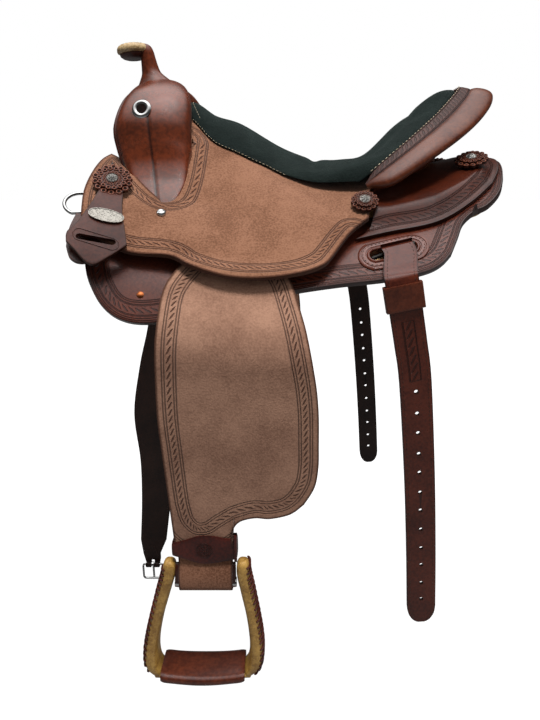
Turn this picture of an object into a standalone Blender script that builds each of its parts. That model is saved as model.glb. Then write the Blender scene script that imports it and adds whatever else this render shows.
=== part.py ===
"""Western trail saddle in metres: front at -X, rider's left (near) side at -Y, up is +Z.

The origin is where the middle of the saddle rests on the horse's back. Leather flaps are flat
patterns (x along the back, s down the side from the spine) laid over the back, which is a barrel.
"""

import math

import bmesh
import bpy
from mathutils import Matrix, Vector

# The top of the skirts over the horse's back
BACK_RADIUS = 0.330
BACK_LOW_X = 0.030
BACK_LOW_Z = 0.002
BACK_ROCK = 0.030
BACK_ROCK_REACH = 0.240

# Leather and padding thicknesses, and the gap that touching pieces keep
GAP = 0.0004
SKIRT_THICK = 0.008
FLEECE_THICK = 0.014
BAR_THICK = 0.012
JOCKEY_LIFT = 0.018
JOCKEY_THICK = 0.005
PAD_EDGE = 0.0035
PAD_CROWN = 0.009
PAD_GAP = 0.0018
REAR_JOCKEY_THICK = 0.0045
COVER_THICK = 0.003
BILLET_THICK = 0.0045

# Height of the seat leather along the spine: (x, z)
RIDGE = (
    (-0.245, 0.058), (-0.200, 0.062), (-0.160, 0.086), (-0.124, 0.106), (-0.091, 0.089),
    (-0.055, 0.078), (-0.003, 0.048), (0.031, 0.035), (0.059, 0.028), (0.090, 0.027),
    (0.127, 0.034), (0.173, 0.077), (0.223, 0.117), (0.260, 0.128),
)

# Fenders and stirrups
FENDER_HINGE = (-0.055, -0.2672, -0.1115)
FENDER_FLEX = 0.0008
FENDER_THICK = 0.005
HANG_START = 0.335
HANG_BEND = 0.040
HANG_REST_Z = 0.006
NECK_X = -0.090
STRAP_HALF = 0.0325
STRAP_THICK = 0.0032
STIRRUP_BOLT = (-0.0905, -0.3005, -0.460)
BOLT_RADIUS = 0.006
TREAD_HALF = 0.0485
TREAD_TOP = -0.5806
TREAD_THICK = 0.016
TREAD_DEPTH = 0.050

# Rear rigging: the slot in the skirt, as (x, s) of its ends, and what hangs in it
SLOT_FRONT = (0.1145, 0.2367)
SLOT_REAR = (0.1535, 0.2233)
SLOT_HALF = 0.0085
PIN_RADIUS = 0.0025
BILLET_HALF = 0.019
BILLET_PATH = (
    (0.1370, -0.2560, -0.0985), (0.1445, -0.2545, -0.1350), (0.1520, -0.2530, -0.1710),
    (0.1610, -0.2515, -0.2200), (0.1750, -0.2482, -0.3450), (0.1845, -0.2455, -0.4500),
    (0.1905, -0.2438, -0.5300), (0.1930, -0.2430, -0.5660),
)
BILLET_HOLES = 12
BILLET_HOLE_PITCH = 0.0272
BILLET_FIRST_HOLE = 0.135
HOLE_RADIUS = 0.0026

# Breast-collar rings: the middle of the bar as (x, s), its lift, and what holds it
RING_PLACE = (-0.226, 0.203)
RING_LIFT = 0.005
RING_WIRE = 0.0021
CLIP_THICK = 0.0018

# Rear cinch, hung on the off side
CINCH_X = -0.245
CINCH_Y = 0.262
CINCH_RING_Z = -0.0520
CINCH_THICK = 0.005
HANGER_THICK = 0.0035
RING_DROP = 0.030
CINCH_END_Z = -0.838
BUCKLE_X = -0.297
BUCKLE_HALF = 0.023
BUCKLE_DROP = 0.038
WIRE = 0.0024
TONGUE_THICK = 0.0024
# The band below its ring: (drop, x, half width)
CINCH_BAND = (
    (0.035, -0.2450, 0.0200), (0.080, -0.2450, 0.0220), (0.173, -0.2470, 0.0230),
    (0.268, -0.2620, 0.0320), (0.378, -0.2750, 0.0390), (0.488, -0.2720, 0.0360),
    (0.588, -0.2790, 0.0325), (0.690, -0.2910, 0.0295),
)

bpy.context.view_layer.update()
for thing in list(bpy.data.objects):
    bpy.data.objects.remove(thing, do_unlink=True)

saddle = bpy.data.collections.new("trail_saddle")
cutters = bpy.data.collections.new("cutters")
bpy.context.scene.collection.children.link(saddle)
bpy.context.scene.collection.children.link(cutters)

# Looks: colour, roughness, metallic
LOOKS = {
    "smooth_leather": ((0.180, 0.055, 0.025), 0.35, 0.0),
    "rough_leather": ((0.300, 0.160, 0.090), 0.90, 0.0),
    "fender_leather": ((0.210, 0.120, 0.075), 0.90, 0.0),
    "tooled_leather": ((0.090, 0.028, 0.018), 0.40, 0.0),
    "dark_leather": ((0.030, 0.012, 0.009), 0.50, 0.0),
    "hobble_leather": ((0.080, 0.015, 0.010), 0.40, 0.0),
    "suede": ((0.009, 0.014, 0.013), 0.95, 0.0),
    "fleece": ((0.550, 0.420, 0.260), 1.00, 0.0),
    "wood": ((0.420, 0.270, 0.130), 0.70, 0.0),
    "horn_rawhide": ((0.480, 0.360, 0.200), 0.55, 0.0),
    "stirrup_rawhide": ((0.330, 0.190, 0.055), 0.50, 0.0),
    "tread_leather": ((0.080, 0.020, 0.012), 0.35, 0.0),
    "steel": ((0.600, 0.600, 0.590), 0.25, 1.0),
    "silver": ((0.720, 0.710, 0.680), 0.30, 1.0),
}


def material(look):
    """The Principled material of one finish, made once."""
    if look in bpy.data.materials:
        return bpy.data.materials[look]
    colour, roughness, metallic = LOOKS[look]
    made = bpy.data.materials.new(look)
    made.use_nodes = True
    shader = made.node_tree.nodes["Principled BSDF"]
    shader.inputs["Base Color"].default_value = (*colour, 1.0)
    shader.inputs["Roughness"].default_value = roughness
    shader.inputs["Metallic"].default_value = metallic
    return made


def add_mesh(name, mesh, look):
    """A named piece of the saddle."""
    piece = bpy.data.objects.new(name, mesh)
    saddle.objects.link(piece)
    mesh.materials.clear()
    mesh.materials.append(material(look))
    mesh.shade_smooth()
    mesh.set_sharp_from_angle(angle=math.radians(40))
    return piece


def add_piece(name, bm, look):
    bmesh.ops.recalc_face_normals(bm, faces=bm.faces)
    if bm.calc_volume(signed=True) < 0:
        bmesh.ops.reverse_faces(bm, faces=bm.faces)
    mesh = bpy.data.meshes.new(name)
    bm.to_mesh(mesh)
    bm.free()
    return add_mesh(name, mesh, look)


def baked(piece):
    """The piece's mesh with its modifiers applied, in world space."""
    bpy.context.view_layer.update()
    mesh = bpy.data.meshes.new_from_object(piece.evaluated_get(bpy.context.evaluated_depsgraph_get()))
    mesh.transform(piece.matrix_world)
    return mesh


def other_side(piece, name):
    """The same piece for the off side, mirrored across the middle of the saddle."""
    mesh = baked(piece)
    mesh.transform(Matrix.Scale(-1, 4, (0, 1, 0)))
    mesh.flip_normals()
    return add_mesh(name, mesh, piece.data.materials[0].name)


def cut(piece, cutter):
    """A Boolean cut, with the cutter kept out of the model."""
    for collection in list(cutter.users_collection):
        collection.objects.unlink(cutter)
    cutters.objects.link(cutter)
    cutter.hide_render = True
    cutter.display_type = "WIRE"
    boolean = piece.modifiers.new("cut", "BOOLEAN")
    boolean.object = cutter
    boolean.operation = "DIFFERENCE"


def hang_on(name, point, pieces):
    """Parents the pieces of a moving body to an empty on its joint's axis."""
    pivot = bpy.data.objects.new(name, None)
    saddle.objects.link(pivot)
    pivot.location = point
    bpy.context.view_layer.update()
    for piece in pieces:
        piece.parent = pivot
        piece.matrix_parent_inverse = pivot.matrix_world.inverted()


def ease(value):
    """0 below 0, 1 above 1, and smooth between."""
    value = min(max(value, 0.0), 1.0)
    return value * value * (3 - 2 * value)


def curve_through(points, per_span=10):
    """Fine points along a smooth curve through the given ones."""
    spread = [Vector(point) for point in (points[0], *points, points[-1])]
    fine = []
    for a, b, c, d in zip(spread, spread[1:], spread[2:], spread[3:]):
        for step in range(per_span):
            t = step / per_span
            fine.append(0.5 * (2 * b + (c - a) * t + (2 * a - 5 * b + 4 * c - d) * t**2
                               + (3 * b - a - 3 * c + d) * t**3))
    fine.append(spread[-1])
    return fine


def spaced(points, spans):
    """Points at even distances along a smooth curve through the given ones."""
    fine = curve_through(points)
    reach = [0.0]
    for a, b in zip(fine, fine[1:]):
        reach.append(reach[-1] + (b - a).length)
    found = []
    index = 0
    for step in range(spans + 1):
        want = reach[-1] * step / spans
        while index < len(fine) - 2 and reach[index + 1] < want:
            index += 1
        part = (want - reach[index]) / max(reach[index + 1] - reach[index], 1e-9)
        found.append(fine[index].lerp(fine[index + 1], min(part, 1.0)))
    return found


def height_at(profile, x):
    """Height of a profile of (x, z) points at x, smooth between its points."""
    fine = curve_through(profile)
    for a, b in zip(fine, fine[1:]):
        if a.x <= x <= b.x:
            return a.y + (b.y - a.y) * (x - a.x) / max(b.x - a.x, 1e-9)
    return fine[0].y if x < fine[0].x else fine[-1].y


def pattern(top, bottom, front, rear, spans, rows):
    """Rows of pattern points that fill the space between four edges, top row first."""
    top, bottom = spaced(top, spans), spaced(bottom, spans)
    front, rear = spaced(front, rows), spaced(rear, rows)
    grid = []
    for j in range(rows + 1):
        v = j / rows
        line = []
        for i in range(spans + 1):
            u = i / spans
            corners = (top[0].lerp(top[-1], u)).lerp(bottom[0].lerp(bottom[-1], u), v)
            line.append(top[i].lerp(bottom[i], v) + front[j].lerp(rear[j], u) - corners)
        grid.append(line)
    return grid


def slab(name, grid, outer, inner, look):
    """A closed sheet over a grid of pattern points, between its outer and its inner face."""
    rows, spans = len(grid) - 1, len(grid[0]) - 1
    bm = bmesh.new()
    bmesh.ops.create_grid(bm, x_segments=spans, y_segments=rows, size=0.5)
    under = list(bm.verts)
    raised = bmesh.ops.extrude_face_region(bm, geom=list(bm.faces))["geom"]
    over = [item for item in raised if isinstance(item, bmesh.types.BMVert)]
    for verts, place in ((under, inner), (over, outer)):
        for vert in verts:
            i = round((vert.co.x + 0.5) * spans)
            j = round((0.5 - vert.co.y) * rows)
            vert.co = place(grid[j][i])
    return add_piece(name, bm, look)


def loft(name, rings, look):
    """A closed body through rings of equal numbers of points, flat at both ends."""
    bm = bmesh.new()
    loops = [[bm.verts.new(point) for point in ring] for ring in rings]
    for ring, following in zip(loops, loops[1:]):
        for i in range(len(ring)):
            k = (i + 1) % len(ring)
            bm.faces.new((ring[i], ring[k], following[k], following[i]))
    bm.faces.new(loops[0])
    bm.faces.new(loops[-1])
    return add_piece(name, bm, look)


def oval(centre, along, across, points=12, square=2.0):
    """A ring of points; a higher `square` gives it flatter sides."""
    ring = []
    for i in range(points):
        angle = math.tau * (i + 0.5) / points
        c, s = math.cos(angle), math.sin(angle)
        ring.append(Vector(centre)
                    + Vector(along) * math.copysign(abs(c) ** (2 / square), c)
                    + Vector(across) * math.copysign(abs(s) ** (2 / square), s))
    return ring


def strap(name, stations, thickness, look):
    """A flat strap through stations of (centre, across, normal, half width)."""
    rings = []
    for centre, across, normal, half in stations:
        side, rise = Vector(across) * half, Vector(normal) * thickness / 2
        centre = Vector(centre)
        rings.append([centre - side - rise, centre + side - rise, centre + side + rise,
                      centre - side + rise])
    return loft(name, rings, look)


def turned(name, profile, where, look, steps=20):
    """A round piece: a profile of (radius, height) points, outer side top to bottom."""
    mesh = bpy.data.meshes.new(name)
    points = [(radius, 0, height) for radius, height in profile]
    mesh.from_pydata(points, [(i, i + 1) for i in range(len(points) - 1)], [])
    piece = add_mesh(name, mesh, look)
    screw = piece.modifiers.new("turn", "SCREW")
    screw.steps = screw.render_steps = steps
    screw.use_merge_vertices = True
    screw.merge_threshold = 0.0001
    screw.use_smooth_shade = True
    piece.matrix_world = where
    return piece


def wire(name, points, radius, look, closed=True):
    """A bent round wire."""
    curve = bpy.data.curves.new(name, "CURVE")
    curve.dimensions = "3D"
    curve.bevel_depth = radius
    curve.bevel_resolution = 2
    curve.use_fill_caps = not closed
    line = curve.splines.new("POLY")
    line.points.add(len(points) - 1)
    for point, place in zip(line.points, points):
        point.co = (*place, 1)
    line.use_cyclic_u = closed
    bent = bpy.data.objects.new(name, curve)
    saddle.objects.link(bent)
    mesh = baked(bent)
    bpy.data.objects.remove(bent, do_unlink=True)
    bm = bmesh.new()
    bm.from_mesh(mesh)
    bmesh.ops.remove_doubles(bm, verts=bm.verts, dist=0.00001)
    return add_piece(name, bm, look)


def rod(name, start, stop, radius, look, sides=14):
    """A straight round bar."""
    start, stop = Vector(start), Vector(stop)
    bm = bmesh.new()
    bmesh.ops.create_cone(bm, cap_ends=True, segments=sides, radius1=radius, radius2=radius,
                          depth=(stop - start).length)
    turn = (stop - start).to_track_quat("Z", "Y").to_matrix().to_4x4()
    bm.transform(Matrix.Translation((start + stop) / 2) @ turn)
    return add_piece(name, bm, look)


def crest(x):
    """Height of the skirts' top along the spine."""
    return BACK_LOW_Z + BACK_ROCK * ((x - BACK_LOW_X) / BACK_ROCK_REACH) ** 2


def outward(s):
    """Direction straight out of the back at distance s from the spine, near side."""
    return Vector((0, -math.sin(s / BACK_RADIUS), math.cos(s / BACK_RADIUS)))


def drape(x, s, lift):
    """The point over pattern place (x, s), `lift` above the skirt's face."""
    return Vector((x, 0, crest(x) - BACK_RADIUS)) + outward(s) * (BACK_RADIUS + lift)


def on_back(lift):
    """A face at one lift over the back."""
    return lambda point: drape(point.x, point.y, lift)


def seat_height(x, y):
    """Height of the seat leather's face."""
    shoulder = BACK_RADIUS + JOCKEY_LIFT
    side = crest(x) + JOCKEY_LIFT - shoulder + math.sqrt(shoulder**2 - y**2)
    spread = 0.17 + 0.05 * ease((x + 0.10) / 0.12)
    rise = height_at(RIDGE, x) - crest(x) - JOCKEY_LIFT
    return side + rise * max(0.0, 1 - (y / spread) ** 2) ** 1.5


def on_seat(x, s, lift):
    """The point over pattern place (x, s), `lift` above the seat leather's face."""
    across = (BACK_RADIUS + JOCKEY_LIFT) * math.sin(s / BACK_RADIUS)
    return Vector((x, -across, seat_height(x, across))) + outward(s) * lift


def rear_jockey_lift(x, s):
    """How far the rear jockey's inner face stands above the skirt: it lies over the tree bar."""
    return 0.0012 + (BAR_THICK + 0.0005) * ease((0.287 - x) / 0.030) * ease((0.203 - s) / 0.030)


def on_rear(x, s, lift):
    """The point `lift` above the rear jockey's outer face."""
    return drape(x, s, rear_jockey_lift(x, s) + REAR_JOCKEY_THICK + lift)


def facing(face, x, s, lift, spin=0.0):
    """A frame on a face at (x, s): X to the rear, Y up the side, Z straight out of the face."""
    step = 0.004
    along = (face(x + step, s, 0) - face(x - step, s, 0)).normalized()
    out = along.cross(face(x, s - step, 0) - face(x, s + step, 0)).normalized()
    turn = Matrix((along, out.cross(along), out)).transposed().to_4x4()
    return (Matrix.Translation(face(x, s, 0) + out * lift) @ turn
            @ Matrix.Rotation(spin, 4, "Z"))


# Skirts, fleece and tree bars: the layers that lie on the horse
SKIRT_TOP = ((-0.225, 0.075), (-0.100, 0.050), (0.100, 0.020), (0.310, 0.006))
SKIRT_FRONT = ((-0.225, 0.075), (-0.226, 0.180), (-0.222, 0.260), (-0.219, 0.285))
SKIRT_LOW = (
    (-0.219, 0.285), (-0.213, 0.303), (-0.197, 0.327), (-0.175, 0.339), (-0.144, 0.337),
    (-0.089, 0.318), (-0.030, 0.296), (0.015, 0.281), (0.070, 0.272), (0.130, 0.269),
    (0.168, 0.265), (0.187, 0.257), (0.200, 0.244),
)
SKIRT_REAR = (
    (0.310, 0.006), (0.307, 0.045), (0.299, 0.085), (0.290, 0.116), (0.276, 0.151),
    (0.256, 0.174), (0.238, 0.181), (0.222, 0.196), (0.212, 0.218), (0.200, 0.244),
)


def slot_cutter():
    """A round-ended bar straight through the skirt at the rear rigging slot."""
    (x0, s0), (x1, s1) = SLOT_FRONT, SLOT_REAR
    tilt = math.atan2(s0 - s1, x1 - x0)
    reach = math.hypot(x1 - x0, s1 - s0) / 2
    where = facing(drape, (x0 + x1) / 2, (s0 + s1) / 2, -SKIRT_THICK / 2, tilt)
    rings = []
    for z in (-SKIRT_THICK, SKIRT_THICK):
        ring = []
        for end in (1, -1):
            for step in range(7):
                angle = math.radians(-90 + 30 * step) + (0 if end > 0 else math.pi)
                ring.append(where @ Vector((end * reach + SLOT_HALF * math.cos(angle),
                                            SLOT_HALF * math.sin(angle), z)))
        rings.append(ring)
    return loft("slot_cutter", rings, "steel")


def make_skirt():
    grid = pattern(SKIRT_TOP, SKIRT_LOW, SKIRT_FRONT, SKIRT_REAR, 18, 9)
    skirt = slab("skirt_near", grid, on_back(0), on_back(-SKIRT_THICK), "tooled_leather")
    cut(skirt, slot_cutter())
    return skirt


def make_fleece():
    grid = pattern(SKIRT_TOP, SKIRT_LOW, SKIRT_FRONT, SKIRT_REAR, 9, 9)
    middle = Vector((0.030, 0.150))
    grid = [[middle + (point - middle) * 0.975 for point in row] for row in grid]
    top = -SKIRT_THICK - 0.0010
    return slab("fleece_near", grid, on_back(top), on_back(top - FLEECE_THICK), "fleece")


def make_bar():
    grid = pattern(
        ((-0.215, 0.062), (0.000, 0.048), (0.250, 0.040)),
        ((-0.215, 0.155), (-0.100, 0.166), (0.100, 0.166), (0.250, 0.135)),
        ((-0.215, 0.062), (-0.218, 0.110), (-0.215, 0.155)),
        ((0.250, 0.040), (0.255, 0.090), (0.250, 0.135)), 9, 4)
    return slab("tree_bar_near", grid, on_back(BAR_THICK), on_back(0.0010), "wood")


def make_rear_jockey():
    grid = pattern(
        ((0.1270, 0.060), (0.160, 0.040), (0.200, 0.012), (0.302, 0.006)),
        ((0.0900, 0.2095), (0.132, 0.201), (0.192, 0.194), (0.237, 0.168), (0.270, 0.136)),
        ((0.1270, 0.060), (0.1240, 0.083), (0.1180, 0.140), (0.1110, 0.1880), (0.0900, 0.2095)),
        ((0.302, 0.006), (0.299, 0.060), (0.288, 0.100), (0.270, 0.136)), 11, 7)
    return slab("rear_jockey_near", grid, lambda p: on_rear(p.x, p.y, 0),
                lambda p: on_rear(p.x, p.y, -REAR_JOCKEY_THICK), "tooled_leather")


def make_seat_jockey():
    """Seat leather and jockey of one side, cut out round the fork."""
    top = (
        (-0.226, 0.078), (-0.208, 0.098), (-0.196, 0.117), (-0.181, 0.139), (-0.166, 0.155),
        (-0.150, 0.169), (-0.138, 0.171), (-0.124, 0.162), (-0.116, 0.142), (-0.111, 0.115),
        (-0.109, 0.085), (-0.117, 0.050), (-0.131, 0.020), (-0.136, 0.0006), (-0.050, 0.0006),
        (0.050, 0.0006), (0.125, 0.0006),
    )
    low = (
        (-0.226, 0.240), (-0.200, 0.257), (-0.169, 0.265), (-0.125, 0.262), (-0.103, 0.273),
        (-0.081, 0.281), (-0.058, 0.285), (-0.030, 0.285), (0.000, 0.281), (0.029, 0.272),
        (0.050, 0.258), (0.061, 0.245), (0.073, 0.226), (0.085, 0.209), (0.107, 0.188),
    )
    front = ((-0.226, 0.078), (-0.231, 0.105), (-0.233, 0.148), (-0.233, 0.186), (-0.230, 0.214),
             (-0.226, 0.240))
    rear = ((0.125, 0.0006), (0.120, 0.083), (0.114, 0.140), (0.107, 0.188))
    grid = pattern(top, low, front, rear, 22, 7)
    return slab("seat_jockey_near", grid, lambda p: on_seat(p.x, max(p.y, GAP), 0),
                lambda p: on_seat(p.x, max(p.y, GAP), -JOCKEY_THICK), "rough_leather")


def make_ground_seat():
    """The strainer plate that bridges the bars under the seat."""
    half = 0.080
    rows = []
    for j in range(7):
        y = half * (1 - j / 3)
        rows.append([Vector((-0.080 + 0.190 * i / 7, y)) for i in range(8)])
    below = JOCKEY_THICK + 0.0026
    return slab("ground_seat", rows,
                lambda p: Vector((p.x, p.y, seat_height(p.x, abs(p.y)) - below)),
                lambda p: Vector((p.x, p.y, seat_height(p.x, abs(p.y)) - below - 0.002)),
                "steel")


# The cantle's rim: inner edge against the suede, and outer edge of the roll, centre to near end
RIM_INNER = ((0.251, 0, 0.139), (0.229, -0.040, 0.118), (0.197, -0.080, 0.089),
             (0.159, -0.115, 0.058), (0.128, -0.133, 0.033), (0.104, -0.141, 0.012))
RIM_OUTER = ((0.302, 0, 0.130), (0.290, -0.040, 0.111), (0.262, -0.080, 0.088),
             (0.232, -0.117, 0.067), (0.196, -0.146, 0.044), (0.158, -0.164, 0.020),
             (0.130, -0.170, 0.004), (0.112, -0.166, -0.002))
BINDING_SHARE = 0.40
RIM_SPANS = 12


def rim_stations():
    """Inner and outer rim points, near end to off end."""
    pairs = list(zip(spaced(RIM_INNER, RIM_SPANS), spaced(RIM_OUTER, RIM_SPANS)))
    flip = Vector((1, -1, 1))
    return pairs[::-1] + [(a * flip, b * flip) for a, b in pairs[1:]]


def rim_part(name, first, last, thick, sink, look, square):
    """A rolled piece along the rim that covers a share of its width."""
    stations = rim_stations()
    rings = []
    for index, (inner, outer) in enumerate(stations):
        before = stations[max(index - 1, 0)]
        after = stations[min(index + 1, len(stations) - 1)]
        tangent = (after[0] + after[1] - before[0] - before[1]).normalized()
        along = outer - inner
        up = tangent.cross(along).normalized()
        if up.z < 0:
            up = -up
        centre = inner + along * (first + last) / 2 - up * sink
        rings.append(oval(centre, along * (last - first) / 2, up * thick / 2, 8, square))
    return loft(name, rings, look)


def make_seat_pad():
    """The padded suede seat: crowned, drawn in at its edges, and turned up at the cantle."""
    rim = [(x, -y, z) for x, y, z in RIM_INNER]
    edge = ((-0.106, 0.062), (-0.080, 0.085), (-0.041, 0.101), (-0.016, 0.106), (0.016, 0.118),
            (0.042, 0.128), (0.068, 0.133), (0.086, 0.136), (0.100, 0.139))
    spans, rows = 20, 6
    inset = 0.002
    half = pattern(((-0.118, 0), (0.060, 0), (rim[0][0] - inset, 0)), edge,
                   ((-0.118, 0), (-0.113, 0.035), (-0.106, 0.062)),
                   [(x - inset, y) for x, y, _ in rim[:-1]] + [(0.100, 0.139)], spans, rows)
    rim_line = spaced(rim, rows)

    def pad_row(j, sign):
        v = j / rows
        lift = rim_line[j].z - 0.002 - seat_height(rim_line[j].x, rim_line[j].y) - PAD_EDGE
        line = []
        for i, point in enumerate(half[j]):
            u = i / spans
            dish = max(lift, 0.0) * ease((u - 0.45) / 0.55) ** 1.3
            crown = (1 - v**4) * (1 - (2 * u - 1) ** 8)
            line.append(Vector((point.x, sign * point.y, dish, PAD_EDGE + PAD_CROWN * crown)))
        return line

    grid = [pad_row(j, 1) for j in range(rows, 0, -1)] + [pad_row(j, -1) for j in range(rows + 1)]
    return slab("seat_pad", grid,
                lambda p: Vector((p.x, p.y, seat_height(p.x, abs(p.y)) + PAD_GAP + p.z + p.w)),
                lambda p: Vector((p.x, p.y, seat_height(p.x, abs(p.y)) + PAD_GAP + p.z)), "suede")


def make_cantle():
    """The cantle board inside, and the leather on its back."""
    rim = rim_stations()
    foot = ((0.212, 0, 0.052), (0.200, -0.040, 0.046), (0.176, -0.080, 0.033),
            (0.152, -0.110, 0.024), (0.136, -0.124, 0.018))
    flip = Vector((1, -1, 1))
    near = spaced(foot, RIM_SPANS)
    feet = near[::-1] + [point * flip for point in near[1:]]
    trim = 3

    def board(name, back, thick, look):
        rows = []
        for share in (0.0, 0.35, 0.70, 1.0):
            line = []
            for (inner, outer), low in list(zip(rim, feet))[trim:-trim]:
                head = inner.lerp(outer, 0.18) - Vector((0, 0, 0.010))
                line.append(head.lerp(low, share) + Vector((back, 0, -back * 0.35)))
            rows.append(line)
        grid = [[Vector((*point, 0)) for point in line] for line in zip(*rows)]
        return slab(name, grid, lambda p: Vector((p.x + thick, p.y, p.z)),
                    lambda p: Vector((p.x, p.y, p.z)), look)

    board("tree_cantle", 0.002, 0.011, "wood")
    board("cantle_back", 0.0140, 0.003, "smooth_leather")


# Fork: outer and inner arch points (y, z) from the near foot to the top, and its reach in x
FORK = (
    ((0.164, -0.0062), (0.150, -0.0040), -0.148, -0.131),
    ((0.155, 0.0040), (0.137, 0.0040), -0.160, -0.126),
    ((0.145, 0.0150), (0.124, 0.0100), -0.174, -0.122),
    ((0.134, 0.0360), (0.106, 0.0200), -0.192, -0.118),
    ((0.129, 0.0590), (0.094, 0.0360), -0.206, -0.1165),
    ((0.121, 0.0850), (0.086, 0.0560), -0.211, -0.1155),
    ((0.105, 0.1080), (0.076, 0.0750), -0.208, -0.1155),
    ((0.080, 0.1280), (0.060, 0.0930), -0.203, -0.1185),
    ((0.045, 0.1430), (0.036, 0.1060), -0.197, -0.1265),
    ((0.000, 0.1500), (0.000, 0.1120), -0.193, -0.139),
)


def fork_rings(shrink, points=12):
    """Rings along the arch, near foot to off foot, drawn in by `shrink`."""
    stations = [(side, item) for side, items in ((-1, FORK), (1, FORK[-2::-1])) for item in items]
    rings = []
    for side, ((yo, zo), (yi, zi), front, rear) in stations:
        outer, inner = Vector((0, side * yo, zo)), Vector((0, side * yi, zi))
        across = (outer - inner) / 2
        across -= across.normalized() * shrink
        centre = (outer + inner) / 2 + Vector(((front + rear) / 2, 0, 0))
        rings.append(oval(centre, ((rear - front) / 2 - shrink, 0, 0), across, points, 2.4))
    return rings


def make_fork():
    """The wood fork, and the leather shell drawn over it."""
    loft("tree_fork", fork_rings(COVER_THICK + 0.0004), "wood")
    outer, inner = fork_rings(0), fork_rings(COVER_THICK)
    bm = bmesh.new()
    skins = [[[bm.verts.new(point) for point in ring] for ring in rings] for rings in (outer, inner)]
    for skin in skins:
        for ring, following in zip(skin, skin[1:]):
            for i in range(len(ring)):
                k = (i + 1) % len(ring)
                bm.faces.new((ring[i], ring[k], following[k], following[i]))
    for end in (0, -1):
        a, b = skins[0][end], skins[1][end]
        for i in range(len(a)):
            k = (i + 1) % len(a)
            bm.faces.new((a[i], a[k], b[k], b[i]))
    add_piece("fork_cover", bm, "smooth_leather")


def make_horn():
    """The leather neck, and the cap bound in rawhide."""
    stations = (((-0.1770, 0.1510), 0.0205, 0.0210, 0.0), ((-0.1815, 0.1600), 0.0138, 0.0150, -0.1),
                ((-0.1855, 0.1700), 0.0120, 0.0132, -0.2), ((-0.1890, 0.1765), 0.0115, 0.0132, -0.2))
    rings = [oval((x, 0, z), (a, 0, a * tilt), (0, b, 0), 12) for (x, z), a, b, tilt in stations]
    loft("horn_neck", rings, "smooth_leather")
    profile = ((0, 0.0085), (0.0120, 0.0080), (0.0195, 0.0050), (0.0228, 0.0000), (0.0225, -0.0040),
               (0.0190, -0.0065), (0.0165, -0.0095), (0, -0.0100))
    tilt = Matrix.Rotation(math.radians(-7), 4, "Y")
    turned("horn_cap", profile, Matrix.Translation((-0.2060, 0, 0.1905)) @ tilt, "horn_rawhide")


ROSETTES = {"front": (-0.204, 0.159, 0.022), "middle": (0.104, 0.166, 0.0165),
            "rear": (0.252, 0.058, 0.0165)}


def make_rosettes():
    """Leather rosettes of two stacked discs; the front pair carry domed conchos."""
    for place, (x, s, radius) in ROSETTES.items():
        face = on_rear if place == "rear" else on_seat
        small = radius * 0.72
        crown = (0, 0.0062) if place == "front" else (0, 0.0092)
        shoulder = (0.008, 0.0062) if place == "front" else (0.0060, 0.0075)
        profile = (crown, shoulder, (small, 0.0062), (small, 0.0034), (radius, 0.0030),
                   (radius, 0), (0, 0))
        rosette = turned(f"rosette_{place}_near", profile, facing(face, x, s, 0.0022),
                         "tooled_leather", 14)
        other_side(rosette, f"rosette_{place}_off")
        if place == "front":
            dome = ((0, 0.0040), (0.0040, 0.0034), (0.0075, 0), (0, 0))
            concho = turned(f"concho_{place}_near", dome, facing(face, x, s, 0.0088), "silver", 10)
            other_side(concho, f"concho_{place}_off")


def make_ring():
    """The breast-collar ring, a D of wire, and the clip folded round its straight side."""
    where = facing(drape, *RING_PLACE, RING_LIFT)
    bar, bow = 0.012, 0.0175
    outline = [(0, bar), (0, -bar)]
    for step in range(8):
        angle = math.radians(-70 + 20 * step)
        outline.append((-0.014 - bow * math.cos(angle), bow * math.sin(angle)))
    near = wire("breast_ring_near", [where @ Vector((x, y, 0)) for x, y in outline], RING_WIRE,
                "steel")
    off = other_side(near, "breast_ring_off")
    fold = RING_WIRE + GAP + CLIP_THICK / 2
    path = [(0.026, fold), (0.010, fold)]
    for step in range(7):
        angle = math.radians(90 + 30 * step)
        path.append((fold * math.cos(angle), fold * math.sin(angle)))
    path += [(0.010, -fold), (0.026, -fold)]
    across = where.to_3x3().col[1]
    stations = [(where @ Vector((x, 0, z)), across, None, 0.0085) for x, z in path]
    clip = strap("ring_clip_near", orient(stations), CLIP_THICK, "smooth_leather")
    other_side(clip, "ring_clip_off")
    hinge = where.translation
    hang_on("breast_ring_near_hinge", hinge, [near])
    hang_on("breast_ring_off_hinge", hinge * Vector((1, -1, 1)), [off])


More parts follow.
